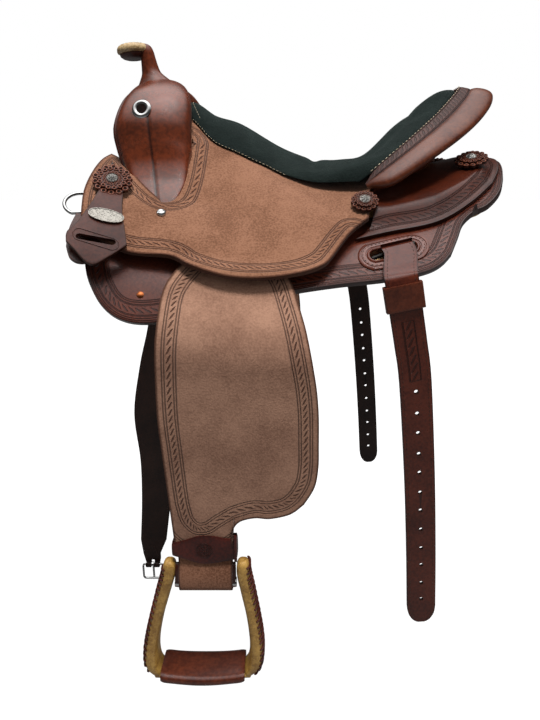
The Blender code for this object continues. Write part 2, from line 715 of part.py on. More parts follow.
def make_latigo_keeper():
    """The shield-shaped keeper, near side only, with its slot and its oval plate."""
    low_lift, high_lift = 0.0206, 0.0246
    grid = pattern(((-0.213, 0.1815), (-0.187, 0.1815)),
                   ((-0.234, 0.274), (-0.225, 0.284), (-0.207, 0.293), (-0.186, 0.279),
                    (-0.170, 0.261)),
                   ((-0.213, 0.1815), (-0.218, 0.215), (-0.227, 0.246), (-0.235, 0.262),
                    (-0.234, 0.274)),
                   ((-0.187, 0.1815), (-0.182, 0.215), (-0.173, 0.249), (-0.170, 0.261)), 10, 9)
    keeper = slab("latigo_keeper", grid, on_back(high_lift), on_back(low_lift), "smooth_leather")
    where = facing(drape, -0.2035, 0.263, (low_lift + high_lift) / 2, math.radians(4))
    reach, half = 0.0195, 0.0030
    ring = [where @ Vector((x, y, 0)) for x, y in ((-reach, -half), (reach, -half), (reach, half),
                                                    (-reach, half))]
    rise = where.to_3x3().col[2] * 0.006
    cut(keeper, loft("keeper_slot_cutter", [[p - rise for p in ring], [p + rise for p in ring]],
                     "steel"))
    place = facing(drape, -0.2020, 0.230, high_lift + 0.0010)
    lens = []
    for i in range(16):
        angle = math.tau * i / 16
        c, s = math.cos(angle), math.sin(angle)
        lens.append(Vector((0.0200 * c, 0.0098 * math.copysign(abs(s) ** 0.8, s), 0)))
    plate = loft("keeper_plate", [[place @ (p + Vector((0, 0, z))) for p in lens] for z in (0, 0.0014)],
                 "silver")
    hang_on("latigo_keeper_hinge", drape(-0.200, 0.1810, high_lift), [keeper, plate])


def hang(x, s, lift):
    """Like drape, but past the skirt's edge the sheet bends down and hangs straight."""
    if s <= HANG_START:
        return drape(x, s, lift)
    start = HANG_START / BACK_RADIUS
    bend = min((s - HANG_START) / HANG_BEND, 1.0)
    turn = math.pi / 2 - start
    angle = start + turn * bend
    radius = HANG_BEND / turn
    point = drape(x, HANG_START, 0)
    point.y -= radius * (math.sin(angle) - math.sin(start))
    point.z -= radius * (math.cos(start) - math.cos(angle))
    point.z -= max(0.0, s - HANG_START - HANG_BEND)
    point.z += (HANG_REST_Z - crest(x)) * ease((s - HANG_START) / 0.10)
    return point + Vector((0, -math.sin(angle), math.cos(angle))) * lift


def pattern_place(x, z, lift):
    """Pattern distance s of the draped sheet at height z."""
    return BACK_RADIUS * math.acos((z - crest(x) + BACK_RADIUS) / (BACK_RADIUS + lift))


def hung(base):
    """A face of the fender, which stands off the skirt a little more below its hinge."""
    return lambda p: hang(p.x, p.y, base + 0.004 * ease((p.y - 0.295) / 0.040))


def split_line(x, side):
    """Pattern place on the fender's fold line, a little above or below the hinge."""
    return (x, pattern_place(x, FENDER_HINGE[2] + side * FENDER_FLEX, 0.0065))


def make_fender():
    """The fender: its top under the jockey, its broad panel, and its neck."""
    inner, outer = 0.004, 0.004 + FENDER_THICK
    top = slab("fender_top_near",
               pattern(((-0.100, 0.245), (-0.050, 0.240), (-0.005, 0.245)),
                       [split_line(x, 1) for x in (-0.129, -0.090, -0.055, -0.020, 0.019)],
                       ((-0.100, 0.245), (-0.118, 0.272), split_line(-0.129, 1)),
                       ((-0.005, 0.245), (0.010, 0.268), split_line(0.019, 1)), 10, 3),
               on_back(outer), on_back(inner), "fender_leather")
    left = (split_line(-0.130, -1), (-0.133, 0.335), (-0.136, 0.370), (-0.137, 0.430),
            (-0.134, 0.477), (-0.131, 0.518), (-0.128, 0.560), (-0.1250, 0.600))
    right = (split_line(0.020, -1), (0.031, 0.345), (0.039, 0.385), (0.043, 0.423),
             (0.044, 0.464), (0.044, 0.494), (0.040, 0.520), (0.028, 0.543))
    low = ((-0.1250, 0.600), (-0.090, 0.600), (-0.0590, 0.599), (-0.0575, 0.582), (-0.0490, 0.567),
           (-0.030, 0.561), (-0.012, 0.563), (0.012, 0.557), (0.028, 0.543))
    grid = pattern([split_line(x, -1) for x in (-0.130, -0.090, -0.055, -0.020, 0.020)], low, left,
                   right, 10, 16)
    panel = slab("fender_near", grid, hung(outer), hung(inner), "fender_leather")
    return top, panel


def make_stirrup_leather():
    """The strap behind the fender, folded round the stirrup's bolt."""
    across, flat = Vector((1, 0, 0)), Vector((0, -1, 0))
    _, bolt_y, bolt_z = STIRRUP_BOLT
    radius = BOLT_RADIUS + 0.0006 + STRAP_THICK / 2
    stations = []
    for s in (0.356, 0.380, 0.450, 0.520, 0.590, 0.615):
        spot = hang(NECK_X, s, 0.0040)
        stations.append((spot, across, flat, STRAP_HALF))
    stations.append((Vector((NECK_X, bolt_y + radius * 0.93, bolt_z + 0.016)), across, flat,
                     STRAP_HALF))
    for step in range(11):
        angle = math.radians(180 * step / 10)
        out = Vector((0, math.cos(angle), -math.sin(angle)))
        stations.append((Vector((NECK_X, bolt_y, bolt_z)) + out * radius, across, -out, STRAP_HALF))
    neck_y = hang(NECK_X, 0.50, 0.0105).y
    for rise in (0.016, 0.030, 0.042):
        y = bolt_y - radius * 0.93 if rise < 0.02 else neck_y
        stations.append((Vector((NECK_X, y, bolt_z + rise)), across, flat, STRAP_HALF))
    return strap("stirrup_leather_near", orient(stations), STRAP_THICK, "fender_leather")


def orient(stations):
    """Stations whose normals follow the strap's own path in the YZ plane."""
    found = []
    for index, (centre, across, _, half) in enumerate(stations):
        before = stations[max(index - 1, 0)][0]
        after = stations[min(index + 1, len(stations) - 1)][0]
        path = (after - before).normalized()
        found.append((centre, across, Vector(across).cross(path).normalized(), half))
    return found


def make_hobble():
    """The strap round the neck, deepest in the middle."""
    front_y, back_y = -0.3078, -0.2890
    half_x, middle = 0.0388, NECK_X
    centre_z = -0.4105
    rings = []
    for share, half in [(-1.0, 0.009), (-0.6, 0.013), (0.0, 0.0195), (0.6, 0.016), (1.0, 0.0135)]:
        x = middle + share * half_x
        rings.append([(x, back_y, centre_z - half), (x, front_y, centre_z - half),
                      (x, front_y, centre_z + half), (x, back_y, centre_z + half)])
    hobble = loft("hobble_strap_near", rings, "hobble_leather")
    inside = 0.0362
    box = [(-inside, -0.2915), (inside, -0.2915), (inside, -0.3053), (-inside, -0.3053)]
    cutter = loft("hobble_cutter", [[(middle + x, y, z) for x, y in box] for z in (-0.45, -0.37)],
                  "steel")
    cut(hobble, cutter)
    return hobble


def make_stirrup():
    """Wood stirrup under rawhide, its bolt, and the leather tread on its foot."""
    bolt_x, bolt_y, bolt_z = STIRRUP_BOLT
    foot_x = -0.0970
    path = ((0.0445, -0.4275, 0.0072, 0.009), (0.0452, -0.4450, 0.0080, 0.011),
            (0.0510, -0.4700, 0.0080, 0.012), (0.0585, -0.5030, 0.0076, 0.013),
            (0.0640, -0.5340, 0.0080, 0.015), (0.0660, -0.5560, 0.0085, 0.017),
            (0.0645, -0.5740, 0.0085, 0.018), (0.0575, -0.5852, 0.0062, 0.0165),
            (0.0490, -0.5886, 0.0046, 0.0160))

    def middle_x(z):
        return bolt_x + (foot_x - bolt_x) * (bolt_z - z) / (bolt_z - TREAD_TOP)

    stations = [(-x, z, t, d) for x, z, t, d in path] + [(x, z, t, d) for x, z, t, d in path[::-1]]
    places = [Vector((middle_x(z) + x, bolt_y, z)) for x, z, _, _ in stations]
    rings = []
    for index, (_, _, thick, deep) in enumerate(stations):
        path_way = places[min(index + 1, len(places) - 1)] - places[max(index - 1, 0)]
        side = Vector((0, 1, 0)).cross(path_way).normalized() * thick
        rings.append(oval(places[index], side, (0, deep, 0), 8, 3.2))
    frame = loft("stirrup_frame_near", rings, "stirrup_rawhide")
    bolt = rod("stirrup_bolt_near", (bolt_x - 0.0375, bolt_y, bolt_z),
               (bolt_x + 0.0375, bolt_y, bolt_z), BOLT_RADIUS, "steel")
    low, high = TREAD_TOP - TREAD_THICK, TREAD_TOP
    half = TREAD_DEPTH / 2
    outline = [(half, low + 0.004), (half, high - 0.003), (half - 0.003, high),
               (-half + 0.003, high), (-half, high - 0.003), (-half, low + 0.004),
               (-half + 0.006, low), (half - 0.006, low)]
    ends = (foot_x - TREAD_HALF, foot_x + TREAD_HALF)
    tread = loft("stirrup_tread_near",
                 [[(x, bolt_y + y, z) for y, z in outline] for x in ends], "tread_leather")
    core = [oval(places[8] + Vector((reach, 0, 0)), (0, 0, 0.0056), (0, 0.0170, 0), 8, 3.2)
            for reach in (-0.010, 0.110)]
    cut(tread, loft("tread_cutter", core, "steel"))
    return frame, bolt, tread


def make_riding_gear():
    """Fender, stirrup leather, hobble strap and stirrup, on both sides."""
    top, panel = make_fender()
    leather = make_stirrup_leather()
    hobble = make_hobble()
    frame, bolt, tread = make_stirrup()
    groups = (("fender_swing", FENDER_HINGE, (top,)),
              ("fender_lift", FENDER_HINGE, (panel, leather, hobble)),
              ("stirrup_turn", STIRRUP_BOLT, (frame, bolt, tread)))
    for name, point, pieces in groups:
        copies = [other_side(piece, piece.name.replace("_near", "_off")) for piece in pieces]
        hang_on(name + "_near", point, pieces)
        hang_on(name + "_off", Vector(point) * Vector((1, -1, 1)), copies)


def slot_frame():
    """The rear slot's middle, and unit vectors along it, out of it and down the skirt."""
    front, rear = drape(*SLOT_FRONT, 0.001), drape(*SLOT_REAR, 0.001)
    s = (SLOT_FRONT[1] + SLOT_REAR[1]) / 2
    middle = drape((SLOT_FRONT[0] + SLOT_REAR[0]) / 2, s, 0.001)
    along = (rear - front).normalized()
    out = (outward(s) - along * outward(s).dot(along)).normalized()
    return middle, along, out, along.cross(out)


def make_billet():
    """The rear billet, folded over the pin in its slot, with its row of holes."""
    middle, along, out, down = slot_frame()
    if down.z > 0:
        down = -down
    fold = PIN_RADIUS + 0.0004 + BILLET_THICK / 2
    top = Vector(BILLET_PATH[0])
    way = (Vector(BILLET_PATH[2]) - top).normalized()
    level = Vector((0, -1, 0)).cross(way).normalized()
    if level.x < 0:
        level = -level
    strap_x = along * 0.0045
    stations = []
    for degrees in range(225, -1, -25):
        angle = math.radians(degrees)
        stations.append((middle + strap_x + (out * math.cos(angle) - down * math.sin(angle)) * fold,
                         along))
    stations.append((middle + strap_x + out * fold + down * 0.010, along))
    stations.append((drape(0.1385, 0.256, 0.0066), along.lerp(level, 0.5).normalized()))
    stations.append((Vector((0.1365, -0.2490, -0.0905)), along.lerp(level, 0.8).normalized()))
    line = [Vector(point) for point in BILLET_PATH]
    stations += [(point, level) for point in line[:-1]]
    halves = [BILLET_HALF] * len(stations)
    for share, half in ((0.35, 0.0185), (0.75, 0.0150), (1.0, 0.0085)):
        stations.append((line[-2].lerp(line[-1], share), level))
        halves.append(half)
    ready = []
    for index, (centre, across) in enumerate(stations):
        before = stations[max(index - 1, 0)][0]
        after = stations[min(index + 1, len(stations) - 1)][0]
        path_way = (after - before).normalized()
        across = (across - path_way * across.dot(path_way)).normalized()
        ready.append((centre, across, across.cross(path_way).normalized(), halves[index]))
    billet = strap("rear_billet_near", ready, BILLET_THICK, "tooled_leather")
    normal = level.cross(way).normalized()
    even = spaced(BILLET_PATH, 100)
    reach = sum((b - a).length for a, b in zip(even, even[1:]))
    for index in range(BILLET_HOLES):
        spot = even[round(100 * (BILLET_FIRST_HOLE + BILLET_HOLE_PITCH * index) / reach)]
        cut(billet, rod(f"hole_cutter_{index}", spot - normal * 0.01, spot + normal * 0.01,
                        HOLE_RADIUS, "steel", 8))
    return billet, middle, along, level, way, normal


def make_rear_rigging():
    """Pin, billet and keeper loop, on both sides."""
    billet, middle, along, level, way, normal = make_billet()
    reach = (Vector(SLOT_REAR) - Vector(SLOT_FRONT)).length / 2 + SLOT_HALF - 0.0010
    pin = rod("rigging_pin_near", middle - along * reach, middle + along * reach, PIN_RADIUS, "steel",
              12)
    other_side(pin, "rigging_pin_off")
    start = Vector(BILLET_PATH[0]) + way * 0.003
    wall, loose, tall = 0.0028, 0.0006, 0.030
    loops = []
    for half_x, half_y in ((BILLET_HALF + loose + wall, BILLET_THICK / 2 + loose + wall),
                           (BILLET_HALF + loose, BILLET_THICK / 2 + loose)):
        loops.append([(level * half_x * a + normal * half_y * b)
                      for a, b in ((-1, -1), (1, -1), (1, 1), (-1, 1))])
    keeper = loft("billet_keeper_near",
                  [[start + way * z + p for p in loops[0]] for z in (0, tall)], "tooled_leather")
    cut(keeper, loft("keeper_cutter",
                     [[start + way * z + p for p in loops[1]] for z in (-0.01, tall + 0.01)], "steel"))
    off_billet = other_side(billet, "rear_billet_off")
    off_keeper = other_side(keeper, "billet_keeper_off")
    hang_on("billet_hinge_near", middle, [billet, keeper])
    hang_on("billet_hinge_off", middle * Vector((1, -1, 1)), [off_billet, off_keeper])


def level_path(places, half):
    """Strap stations through (x, y, z) places, level from side to side."""
    return [(Vector(place), Vector((1, 0, 0)), None, half) for place in places]


def around(bar, radius, first, last, steps):
    """Places round a level bar; 0 degrees is away from the middle of the saddle, 90 is up."""
    places = []
    for step in range(steps + 1):
        angle = math.radians(first + (last - first) * step / steps)
        places.append(bar + Vector((0, math.cos(angle), math.sin(angle))) * radius)
    return places


def make_hanger():
    """The strap that the cinch hangs from, folded round its ring's upper bar."""
    bar = Vector((CINCH_X, -CINCH_Y, CINCH_RING_Z))
    path = []
    for x, s in ((-0.2045, 0.1835), (-0.2110, 0.205), (-0.2230, 0.228), (-0.2350, 0.248)):
        down = (drape(x, s + 0.01, 0) - drape(x, s - 0.01, 0)).normalized()
        path.append((drape(x, s, 0.0234), (Vector((1, 0, 0)) + down * 0.4).normalized(), None,
                     0.0145))
    fold = around(bar, WIRE + 2 * GAP + HANGER_THICK / 2, 150, 360, 7)
    stations = orient(path + level_path(fold, 0.0145))
    hanger = strap("cinch_hanger_near", stations, HANGER_THICK, "smooth_leather")
    other_side(hanger, "cinch_hanger")
    bpy.data.objects.remove(hanger, do_unlink=True)


def wire_frame(name, x, top_z, drop):
    """A buckle frame of wire that hangs from its upper bar."""
    corners = ((-BUCKLE_HALF, top_z), (BUCKLE_HALF, top_z), (BUCKLE_HALF, top_z - drop),
               (-BUCKLE_HALF, top_z - drop))
    points = [(x + side, CINCH_Y, z) for side, z in round_corners(corners, 0.006)]
    return wire(name, points, WIRE, "steel")


def make_cinch():
    """The rear cinch on the off side: its ring, the band, and the buckle with its tongue."""
    make_hanger()
    ring = wire_frame("cinch_ring", CINCH_X, CINCH_RING_Z, RING_DROP)
    fold = WIRE + GAP + CINCH_THICK / 2
    upper = Vector((CINCH_X, CINCH_Y, CINCH_RING_Z - RING_DROP))
    lower = Vector((BUCKLE_X, CINCH_Y, CINCH_END_Z))
    stations = level_path(around(upper, fold, 240, 0, 8), 0.0150)
    stations += level_path([upper + Vector((0, fold, -0.010))], 0.0160)
    for drop, x, half in CINCH_BAND:
        stations += level_path([(x, CINCH_Y, upper.z - drop)], half)
    stations += level_path([lower + Vector((0, 0, 0.030))], 0.0200)
    stations += level_path([lower + Vector((0, fold, 0.012))], 0.0185)
    stations += level_path(around(lower, fold, 0, -240, 8), 0.0160)
    band = strap("rear_cinch", orient(stations), CINCH_THICK, "dark_leather")
    cut(band, box_between("tongue_gap", lower - Vector((0.0036, 0.012, 0.012)),
                          lower + Vector((0.0036, 0.012, 0.0095))))
    buckle = wire_frame("cinch_buckle", BUCKLE_X, CINCH_END_Z, BUCKLE_DROP)
    reach = WIRE + GAP + TONGUE_THICK / 2
    places = around(lower, reach, 210, 0, 6)
    places += [lower + Vector((0, reach, -drop)) for drop in (0.006, BUCKLE_DROP + 0.003)]
    tongue = strap("cinch_tongue", orient(level_path(places, 0.0022)), TONGUE_THICK, "steel")
    hang_on("cinch_hinge", (CINCH_X, CINCH_Y, CINCH_RING_Z), [ring, band])
    hang_on("cinch_buckle_hinge", lower, [buckle])
    hang_on("cinch_tongue_hinge", lower, [tongue])


def round_corners(corners, radius, steps=3):
    """A closed outline with each corner turned through an arc."""
    found = []
    for index, (x, z) in enumerate(corners):
        corner = Vector((x, z))
        before = (Vector(corners[index - 1]) - corner).normalized() * radius
        after = (Vector(corners[(index + 1) % len(corners)]) - corner).normalized() * radius
        centre = corner + before + after
        for step in range(steps + 1):
            share = step / steps
            spoke = (-after).lerp(-before, share).normalized() * radius
            found.append(tuple(centre + spoke))
    return found


def box_between(name, low, high):
    """A block between two corners."""
    low, high = Vector(low), Vector(high)
    bm = bmesh.new()
    bmesh.ops.create_cube(bm, size=1.0)
    bm.transform(Matrix.Translation((low + high) / 2) @ Matrix.Diagonal((*(high - low), 1)))
    return add_piece(name, bm, "steel")


for maker in (make_skirt, make_fleece, make_bar, make_rear_jockey, make_seat_jockey):
    near_piece = maker()
    other_side(near_piece, near_piece.name.replace("_near", "_off"))
make_ground_seat()
make_seat_pad()
rim_part("cantle_binding", 0.02, BINDING_SHARE - 0.01, 0.0070, 0.000, "tooled_leather", 3.0)
rim_part("cheyenne_roll", BINDING_SHARE + 0.01, 1.0, 0.0140, 0.001, "smooth_leather", 2.2)
make_cantle()
make_fork()
make_horn()
make_rosettes()
make_ring()
make_latigo_keeper()
make_riding_gear()
make_rear_rigging()
make_cinch()
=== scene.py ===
"""Looks of a western trail saddle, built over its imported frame.

Metres, +Z up, the horse's head toward -X, the rider's left (near) side at -Y. Leather flaps are
flat patterns, x along the back and s down the side from the spine, laid over a barrel of a back.
"""

import math

import bmesh
import bpy
import numpy as np
from mathutils import Matrix, Vector, noise
from mathutils.bvhtree import BVHTree


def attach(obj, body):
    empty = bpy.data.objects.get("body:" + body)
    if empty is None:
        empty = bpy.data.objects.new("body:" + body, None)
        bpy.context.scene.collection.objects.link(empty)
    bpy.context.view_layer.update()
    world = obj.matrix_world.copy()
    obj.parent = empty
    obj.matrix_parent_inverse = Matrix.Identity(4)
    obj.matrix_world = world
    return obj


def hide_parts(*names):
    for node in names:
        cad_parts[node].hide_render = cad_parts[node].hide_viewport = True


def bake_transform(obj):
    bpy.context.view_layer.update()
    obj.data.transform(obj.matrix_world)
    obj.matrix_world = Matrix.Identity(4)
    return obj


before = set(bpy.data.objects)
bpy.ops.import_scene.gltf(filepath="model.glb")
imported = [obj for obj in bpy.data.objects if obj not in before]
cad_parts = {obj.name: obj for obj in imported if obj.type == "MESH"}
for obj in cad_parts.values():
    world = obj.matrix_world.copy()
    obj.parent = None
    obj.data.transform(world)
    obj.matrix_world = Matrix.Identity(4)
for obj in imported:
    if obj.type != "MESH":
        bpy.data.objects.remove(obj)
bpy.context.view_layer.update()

# Camera: level with the fork, a little below the horn, 0.9 m off the near side and looking
# down by 16.3 degrees, as the photograph was taken.
bpy.ops.object.camera_add(location=(0, -0.906, 0), rotation=(math.radians(90 - 16.3), 0, 0))
camera = bpy.context.object
camera.data.lens = 29.0
camera.data.sensor_width = 36.0
camera.data.shift_x = -10 / 720
bpy.context.scene.camera = camera
bpy.context.scene.view_settings.view_transform = "Standard"


# Studio: the main lamp high over the near side, a weak one over the seat, one beyond the cantle
# and one behind, in a white room with a bright ceiling. The floor keeps a soft shadow.
def paint(code):
    """The linear colour of an sRGB hex value."""
    parts = [int(code[i:i + 2], 16) / 255 for i in (0, 2, 4)]
    return (*[c / 12.92 if c <= 0.04045 else ((c + 0.055) / 1.055) ** 2.4 for c in parts], 1.0)


def add_node(tree, kind, sockets=None, **settings):
    """A node with its settings; a socket takes a value, or the output that feeds it."""
    made = tree.nodes.new(kind)
    for name, value in settings.items():
        setattr(made, name, value)
    for name, value in (sockets or {}).items():
        if isinstance(value, bpy.types.NodeSocket):
            tree.links.new(value, made.inputs[name])
        else:
            made.inputs[name].default_value = value
    return made


for place, power, size, mirrored in (((0.1, -0.95, 2.4), 96, 0.7, False), ((0.0, -0.35, 2.2), 9, 1.5, True),
                                     ((2.0, -0.9, 1.0), 10, 1.0, False), ((0.3, 1.8, 1.5), 18, 1.4, False)):
    bpy.ops.object.light_add(type="AREA", location=place)
    lamp = bpy.context.object
    lamp.data.energy = power
    lamp.data.size = size
    lamp.data.shape = "DISK"
    lamp.visible_glossy = mirrored
    lamp.rotation_euler = (Vector((0, 0, -0.2)) - Vector(place)).to_track_quat("-Z", "Y").to_euler()

room = bpy.data.worlds.new("white_room")
bpy.context.scene.world = room
room.use_nodes = True
sky = room.node_tree.nodes["Background"]
rays = add_node(room.node_tree, "ShaderNodeLightPath")
way = add_node(room.node_tree, "ShaderNodeTexCoord")
rise = add_node(room.node_tree, "ShaderNodeSeparateXYZ", {0: way.outputs["Generated"]})
ceiling = add_node(room.node_tree, "ShaderNodeMapRange", {0: rise.outputs["Z"], 1: 0.58, 2: 0.97,
                                                          3: 0.06, 4: 2.60})
bounce = add_node(room.node_tree, "ShaderNodeMix", {0: rays.outputs["Is Glossy Ray"], 2: 0.38,
                                                    3: ceiling.outputs[0]})
strength = add_node(room.node_tree, "ShaderNodeMix", {0: rays.outputs["Is Camera Ray"],
                                                      2: bounce.outputs[0], 3: 1.0})
room.node_tree.links.new(strength.outputs[0], sky.inputs["Strength"])
sky.inputs["Color"].default_value = (1, 1, 1, 1)

bpy.ops.mesh.primitive_plane_add(size=60, location=(0, 20, -0.8825))
floor = bpy.context.object
floor.name = "floor"
chalk = bpy.data.materials.new("matt_white_floor")
chalk.use_nodes = True
shader = chalk.node_tree.nodes["Principled BSDF"]
shader.inputs["Base Color"].default_value = paint("8c8c8c")
shader.inputs["Roughness"].default_value = 0.95
shader.inputs["Emission Color"].default_value = (1, 1, 1, 1)
rays = add_node(chalk.node_tree, "ShaderNodeLightPath")
glow = add_node(chalk.node_tree, "ShaderNodeMath", {0: rays.outputs["Is Camera Ray"], 1: 0.90},
                operation="MULTIPLY")
chalk.node_tree.links.new(glow.outputs[0], shader.inputs["Emission Strength"])
floor.data.materials.append(chalk)


# Tree: two wood bars, the fork and the cantle board, and a steel strainer plate. They are whole
# inside, so their solids stay; only their looks are set. They show from below and behind.
def fresh(name):
    """A new node material, its tree, its shader and its Object coordinates."""
    made = bpy.data.materials.new(name)
    made.use_nodes = True
    tree = made.node_tree
    place = add_node(tree, "ShaderNodeTexCoord").outputs["Object"]
    return made, tree, tree.nodes["Principled BSDF"], place


def sawn_wood(name, pale, dark):
    """Beech under a thin sealer: long fibres 3 mm wide give it fine brown streaks."""
    made, tree, shader, place = fresh(name)
    stretched = add_node(tree, "ShaderNodeMapping", {"Vector": place, "Scale": (30, 330, 330)})
    fibre = add_node(tree, "ShaderNodeTexNoise",
                     {"Vector": stretched.outputs[0], "Scale": 1.0, "Detail": 4.0})
    tone = add_node(tree, "ShaderNodeMix", {0: fibre.outputs["Fac"], 6: paint(pale),
                                            7: paint(dark)}, data_type="RGBA")
    tree.links.new(tone.outputs[2], shader.inputs["Base Color"])
    rise = add_node(tree, "ShaderNodeBump", {"Height": fibre.outputs["Fac"], "Strength": 0.3,
                                             "Distance": 0.0004})
    tree.links.new(rise.outputs[0], shader.inputs["Normal"])
    shader.inputs["Roughness"].default_value = 0.6
    return made


def metal(name, colour, gloss, scratch=0.0015, depth=0.00005, metallic=1.0):
    """A plated or polished metal: hairline scuffs and dull patches break up its shine."""
    made, tree, shader, place = fresh(name)
    dull = add_node(tree, "ShaderNodeTexNoise", {"Vector": place, "Scale": 1 / 0.006,
                                                 "Detail": 5.0})
    spread = add_node(tree, "ShaderNodeMapRange", {0: dull.outputs["Fac"], 1: 0.3, 2: 0.75,
                                                   3: gloss, 4: gloss + 0.16})
    tree.links.new(spread.outputs[0], shader.inputs["Roughness"])
    tone = add_node(tree, "ShaderNodeMix", {0: dull.outputs["Fac"], 6: paint(colour),
                                            7: [c * 0.72 for c in paint(colour)[:3]] + [1.0]},
                    data_type="RGBA")
    tree.links.new(tone.outputs[2], shader.inputs["Base Color"])
    lines = add_node(tree, "ShaderNodeTexNoise", {"Vector": place, "Scale": 1 / scratch})
    rise = add_node(tree, "ShaderNodeBump", {"Height": lines.outputs["Fac"], "Strength": 0.3,
                                             "Distance": depth})
    tree.links.new(rise.outputs[0], shader.inputs["Normal"])
    shader.inputs["Metallic"].default_value = metallic
    return made


def recoat(look, *nodes):
    """Gives kept solids their material."""
    for name in nodes:
        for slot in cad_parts[name].material_slots:
            slot.material = look


def sides(name):
    """A node's names on the near and the off side."""
    return name + "_near", name + "_off"


recoat(sawn_wood("sealed_beech", "b98a58", "7f5530"), "tree_fork", "tree_cantle", *sides("tree_bar"))
chrome = metal("chrome_plated_steel", "c9c9c8", 0.14)
recoat(chrome, "ground_seat", *sides("stirrup_bolt"))
# The rigging pins are steel painted near-black as the shade inside the slot they cross.
recoat(metal("pin_steel_painted_shade", "3a3836", 0.40), *sides("rigging_pin"))


# Fleece: the wool lining of both skirts, on a woven back. Its pile is teased into tufts of
# 8 to 12 mm that show all over the underside and as a soft tan fringe under the skirts' edges.
BACK_RADIUS = 0.330
SKIRT_THICK = 0.008
SKIRT_TOP = ((-0.225, 0.075), (-0.100, 0.050), (0.100, 0.020), (0.310, 0.006))
SKIRT_FRONT = ((-0.225, 0.075), (-0.226, 0.180), (-0.222, 0.260), (-0.219, 0.285))
SKIRT_LOW = (
    (-0.219, 0.285), (-0.213, 0.303), (-0.197, 0.327), (-0.175, 0.339), (-0.144, 0.337),
    (-0.089, 0.318), (-0.030, 0.296), (0.015, 0.281), (0.070, 0.272), (0.130, 0.269),
    (0.168, 0.265), (0.187, 0.257), (0.200, 0.244),
)
SKIRT_REAR = (
    (0.310, 0.006), (0.307, 0.045), (0.299, 0.085), (0.290, 0.116), (0.276, 0.151),
    (0.256, 0.174), (0.238, 0.181), (0.222, 0.196), (0.212, 0.218), (0.200, 0.244),
)


def ease(value):
    """0 below 0, 1 above 1, and smooth between."""
    value = min(max(value, 0.0), 1.0)
    return value * value * (3 - 2 * value)


def crest(x):
    """Height of the skirts' top along the spine."""
    return 0.002 + 0.030 * ((x - 0.030) / 0.240) ** 2


def outward(s):
    """Direction straight out of the back at distance s from the spine, near side."""
    return Vector((0, -math.sin(s / BACK_RADIUS), math.cos(s / BACK_RADIUS)))


def drape(x, s, lift=0.0):
    """The point over pattern place (x, s), `lift` above the skirt's face."""
    return Vector((x, 0, crest(x) - BACK_RADIUS)) + outward(s) * (BACK_RADIUS + lift)


def curve_through(points, per_span=10):
    """Fine points along a smooth curve through the given ones."""
    spread = [Vector(point) for point in (points[0], *points, points[-1])]
    fine = []
    for a, b, c, d in zip(spread, spread[1:], spread[2:], spread[3:]):
        for step in range(per_span):
            t = step / per_span
            fine.append(0.5 * (2 * b + (c - a) * t + (2 * a - 5 * b + 4 * c - d) * t**2
                               + (3 * b - a - 3 * c + d) * t**3))
    fine.append(spread[-1])
    return fine


def spaced(points, spans):
    """Points at even distances along a smooth curve through the given ones."""
    fine = curve_through(points)
    reach = [0.0]
    for a, b in zip(fine, fine[1:]):
        reach.append(reach[-1] + (b - a).length)
    found = []
    index = 0
    for step in range(spans + 1):
        want = reach[-1] * step / spans
        while index < len(fine) - 2 and reach[index + 1] < want:
            index += 1
        part = (want - reach[index]) / max(reach[index + 1] - reach[index], 1e-9)
        found.append(fine[index].lerp(fine[index + 1], min(part, 1.0)))
    return found


def pattern(top, bottom, front, rear, spans, rows):
    """Rows of pattern points that fill the space between four edges, top row first."""
    top, bottom = spaced(top, spans), spaced(bottom, spans)
    front, rear = spaced(front, rows), spaced(rear, rows)
    grid = []
    for j in range(rows + 1):
        v = j / rows
        line = []
        for i in range(spans + 1):
            u = i / spans
            corners = (top[0].lerp(top[-1], u)).lerp(bottom[0].lerp(bottom[-1], u), v)
            line.append(top[i].lerp(bottom[i], v) + front[j].lerp(rear[j], u) - corners)
        grid.append(line)
    return grid


def evened(grid):
    """The same outline with the places inside spread out, so that none folds over a neighbour."""
    places = np.array([[tuple(point[:2]) for point in row] for row in grid])
    for _ in range(400):
        places[1:-1, 1:-1] = (places[:-2, 1:-1] + places[2:, 1:-1]
                              + places[1:-1, :-2] + places[1:-1, 2:]) / 4
    return [[Vector(place) for place in row] for row in places.tolist()]


def measured(points, line):
    """How far each point is from a line, and how far along the line its nearest place is."""
    a, b = line[:-1], line[1:]
    span = b - a
    size = np.maximum((span**2).sum(1), 1e-12)
    share = ((points[:, None] - a) * span).sum(2) / size
    share = np.clip(share, 0, 1)
    gap = np.linalg.norm(points[:, None] - a - share[:, :, None] * span, axis=2)
    nearest = gap.argmin(1)
    each = np.arange(len(points))
    reach = np.concatenate([[0], np.cumsum(np.sqrt(size))[:-1]])
    return gap[each, nearest], reach[nearest] + share[each, nearest] * np.sqrt(size[nearest])


def select_only(piece):
    bpy.ops.object.select_all(action="DESELECT")
    piece.select_set(True)
    bpy.context.view_layer.objects.active = piece


def apply_all(piece):
    """Applies every modifier, and shades the piece smooth up to 40 degrees."""
    select_only(piece)
    for modifier in list(piece.modifiers):
        bpy.ops.object.modifier_apply(modifier=modifier.name)
    bpy.ops.object.shade_smooth_by_angle(angle=math.radians(40))


def enter_mesh():
    """Edit mode with the whole mesh picked."""
    bpy.ops.object.mode_set(mode="EDIT")
    bpy.ops.mesh.select_all(action="SELECT")


def leave_mesh():
    """Turns every face outwards and leaves edit mode."""
    bpy.ops.mesh.select_all(action="SELECT")
    bpy.ops.mesh.normals_make_consistent(inside=False)
    bpy.ops.object.mode_set(mode="OBJECT")


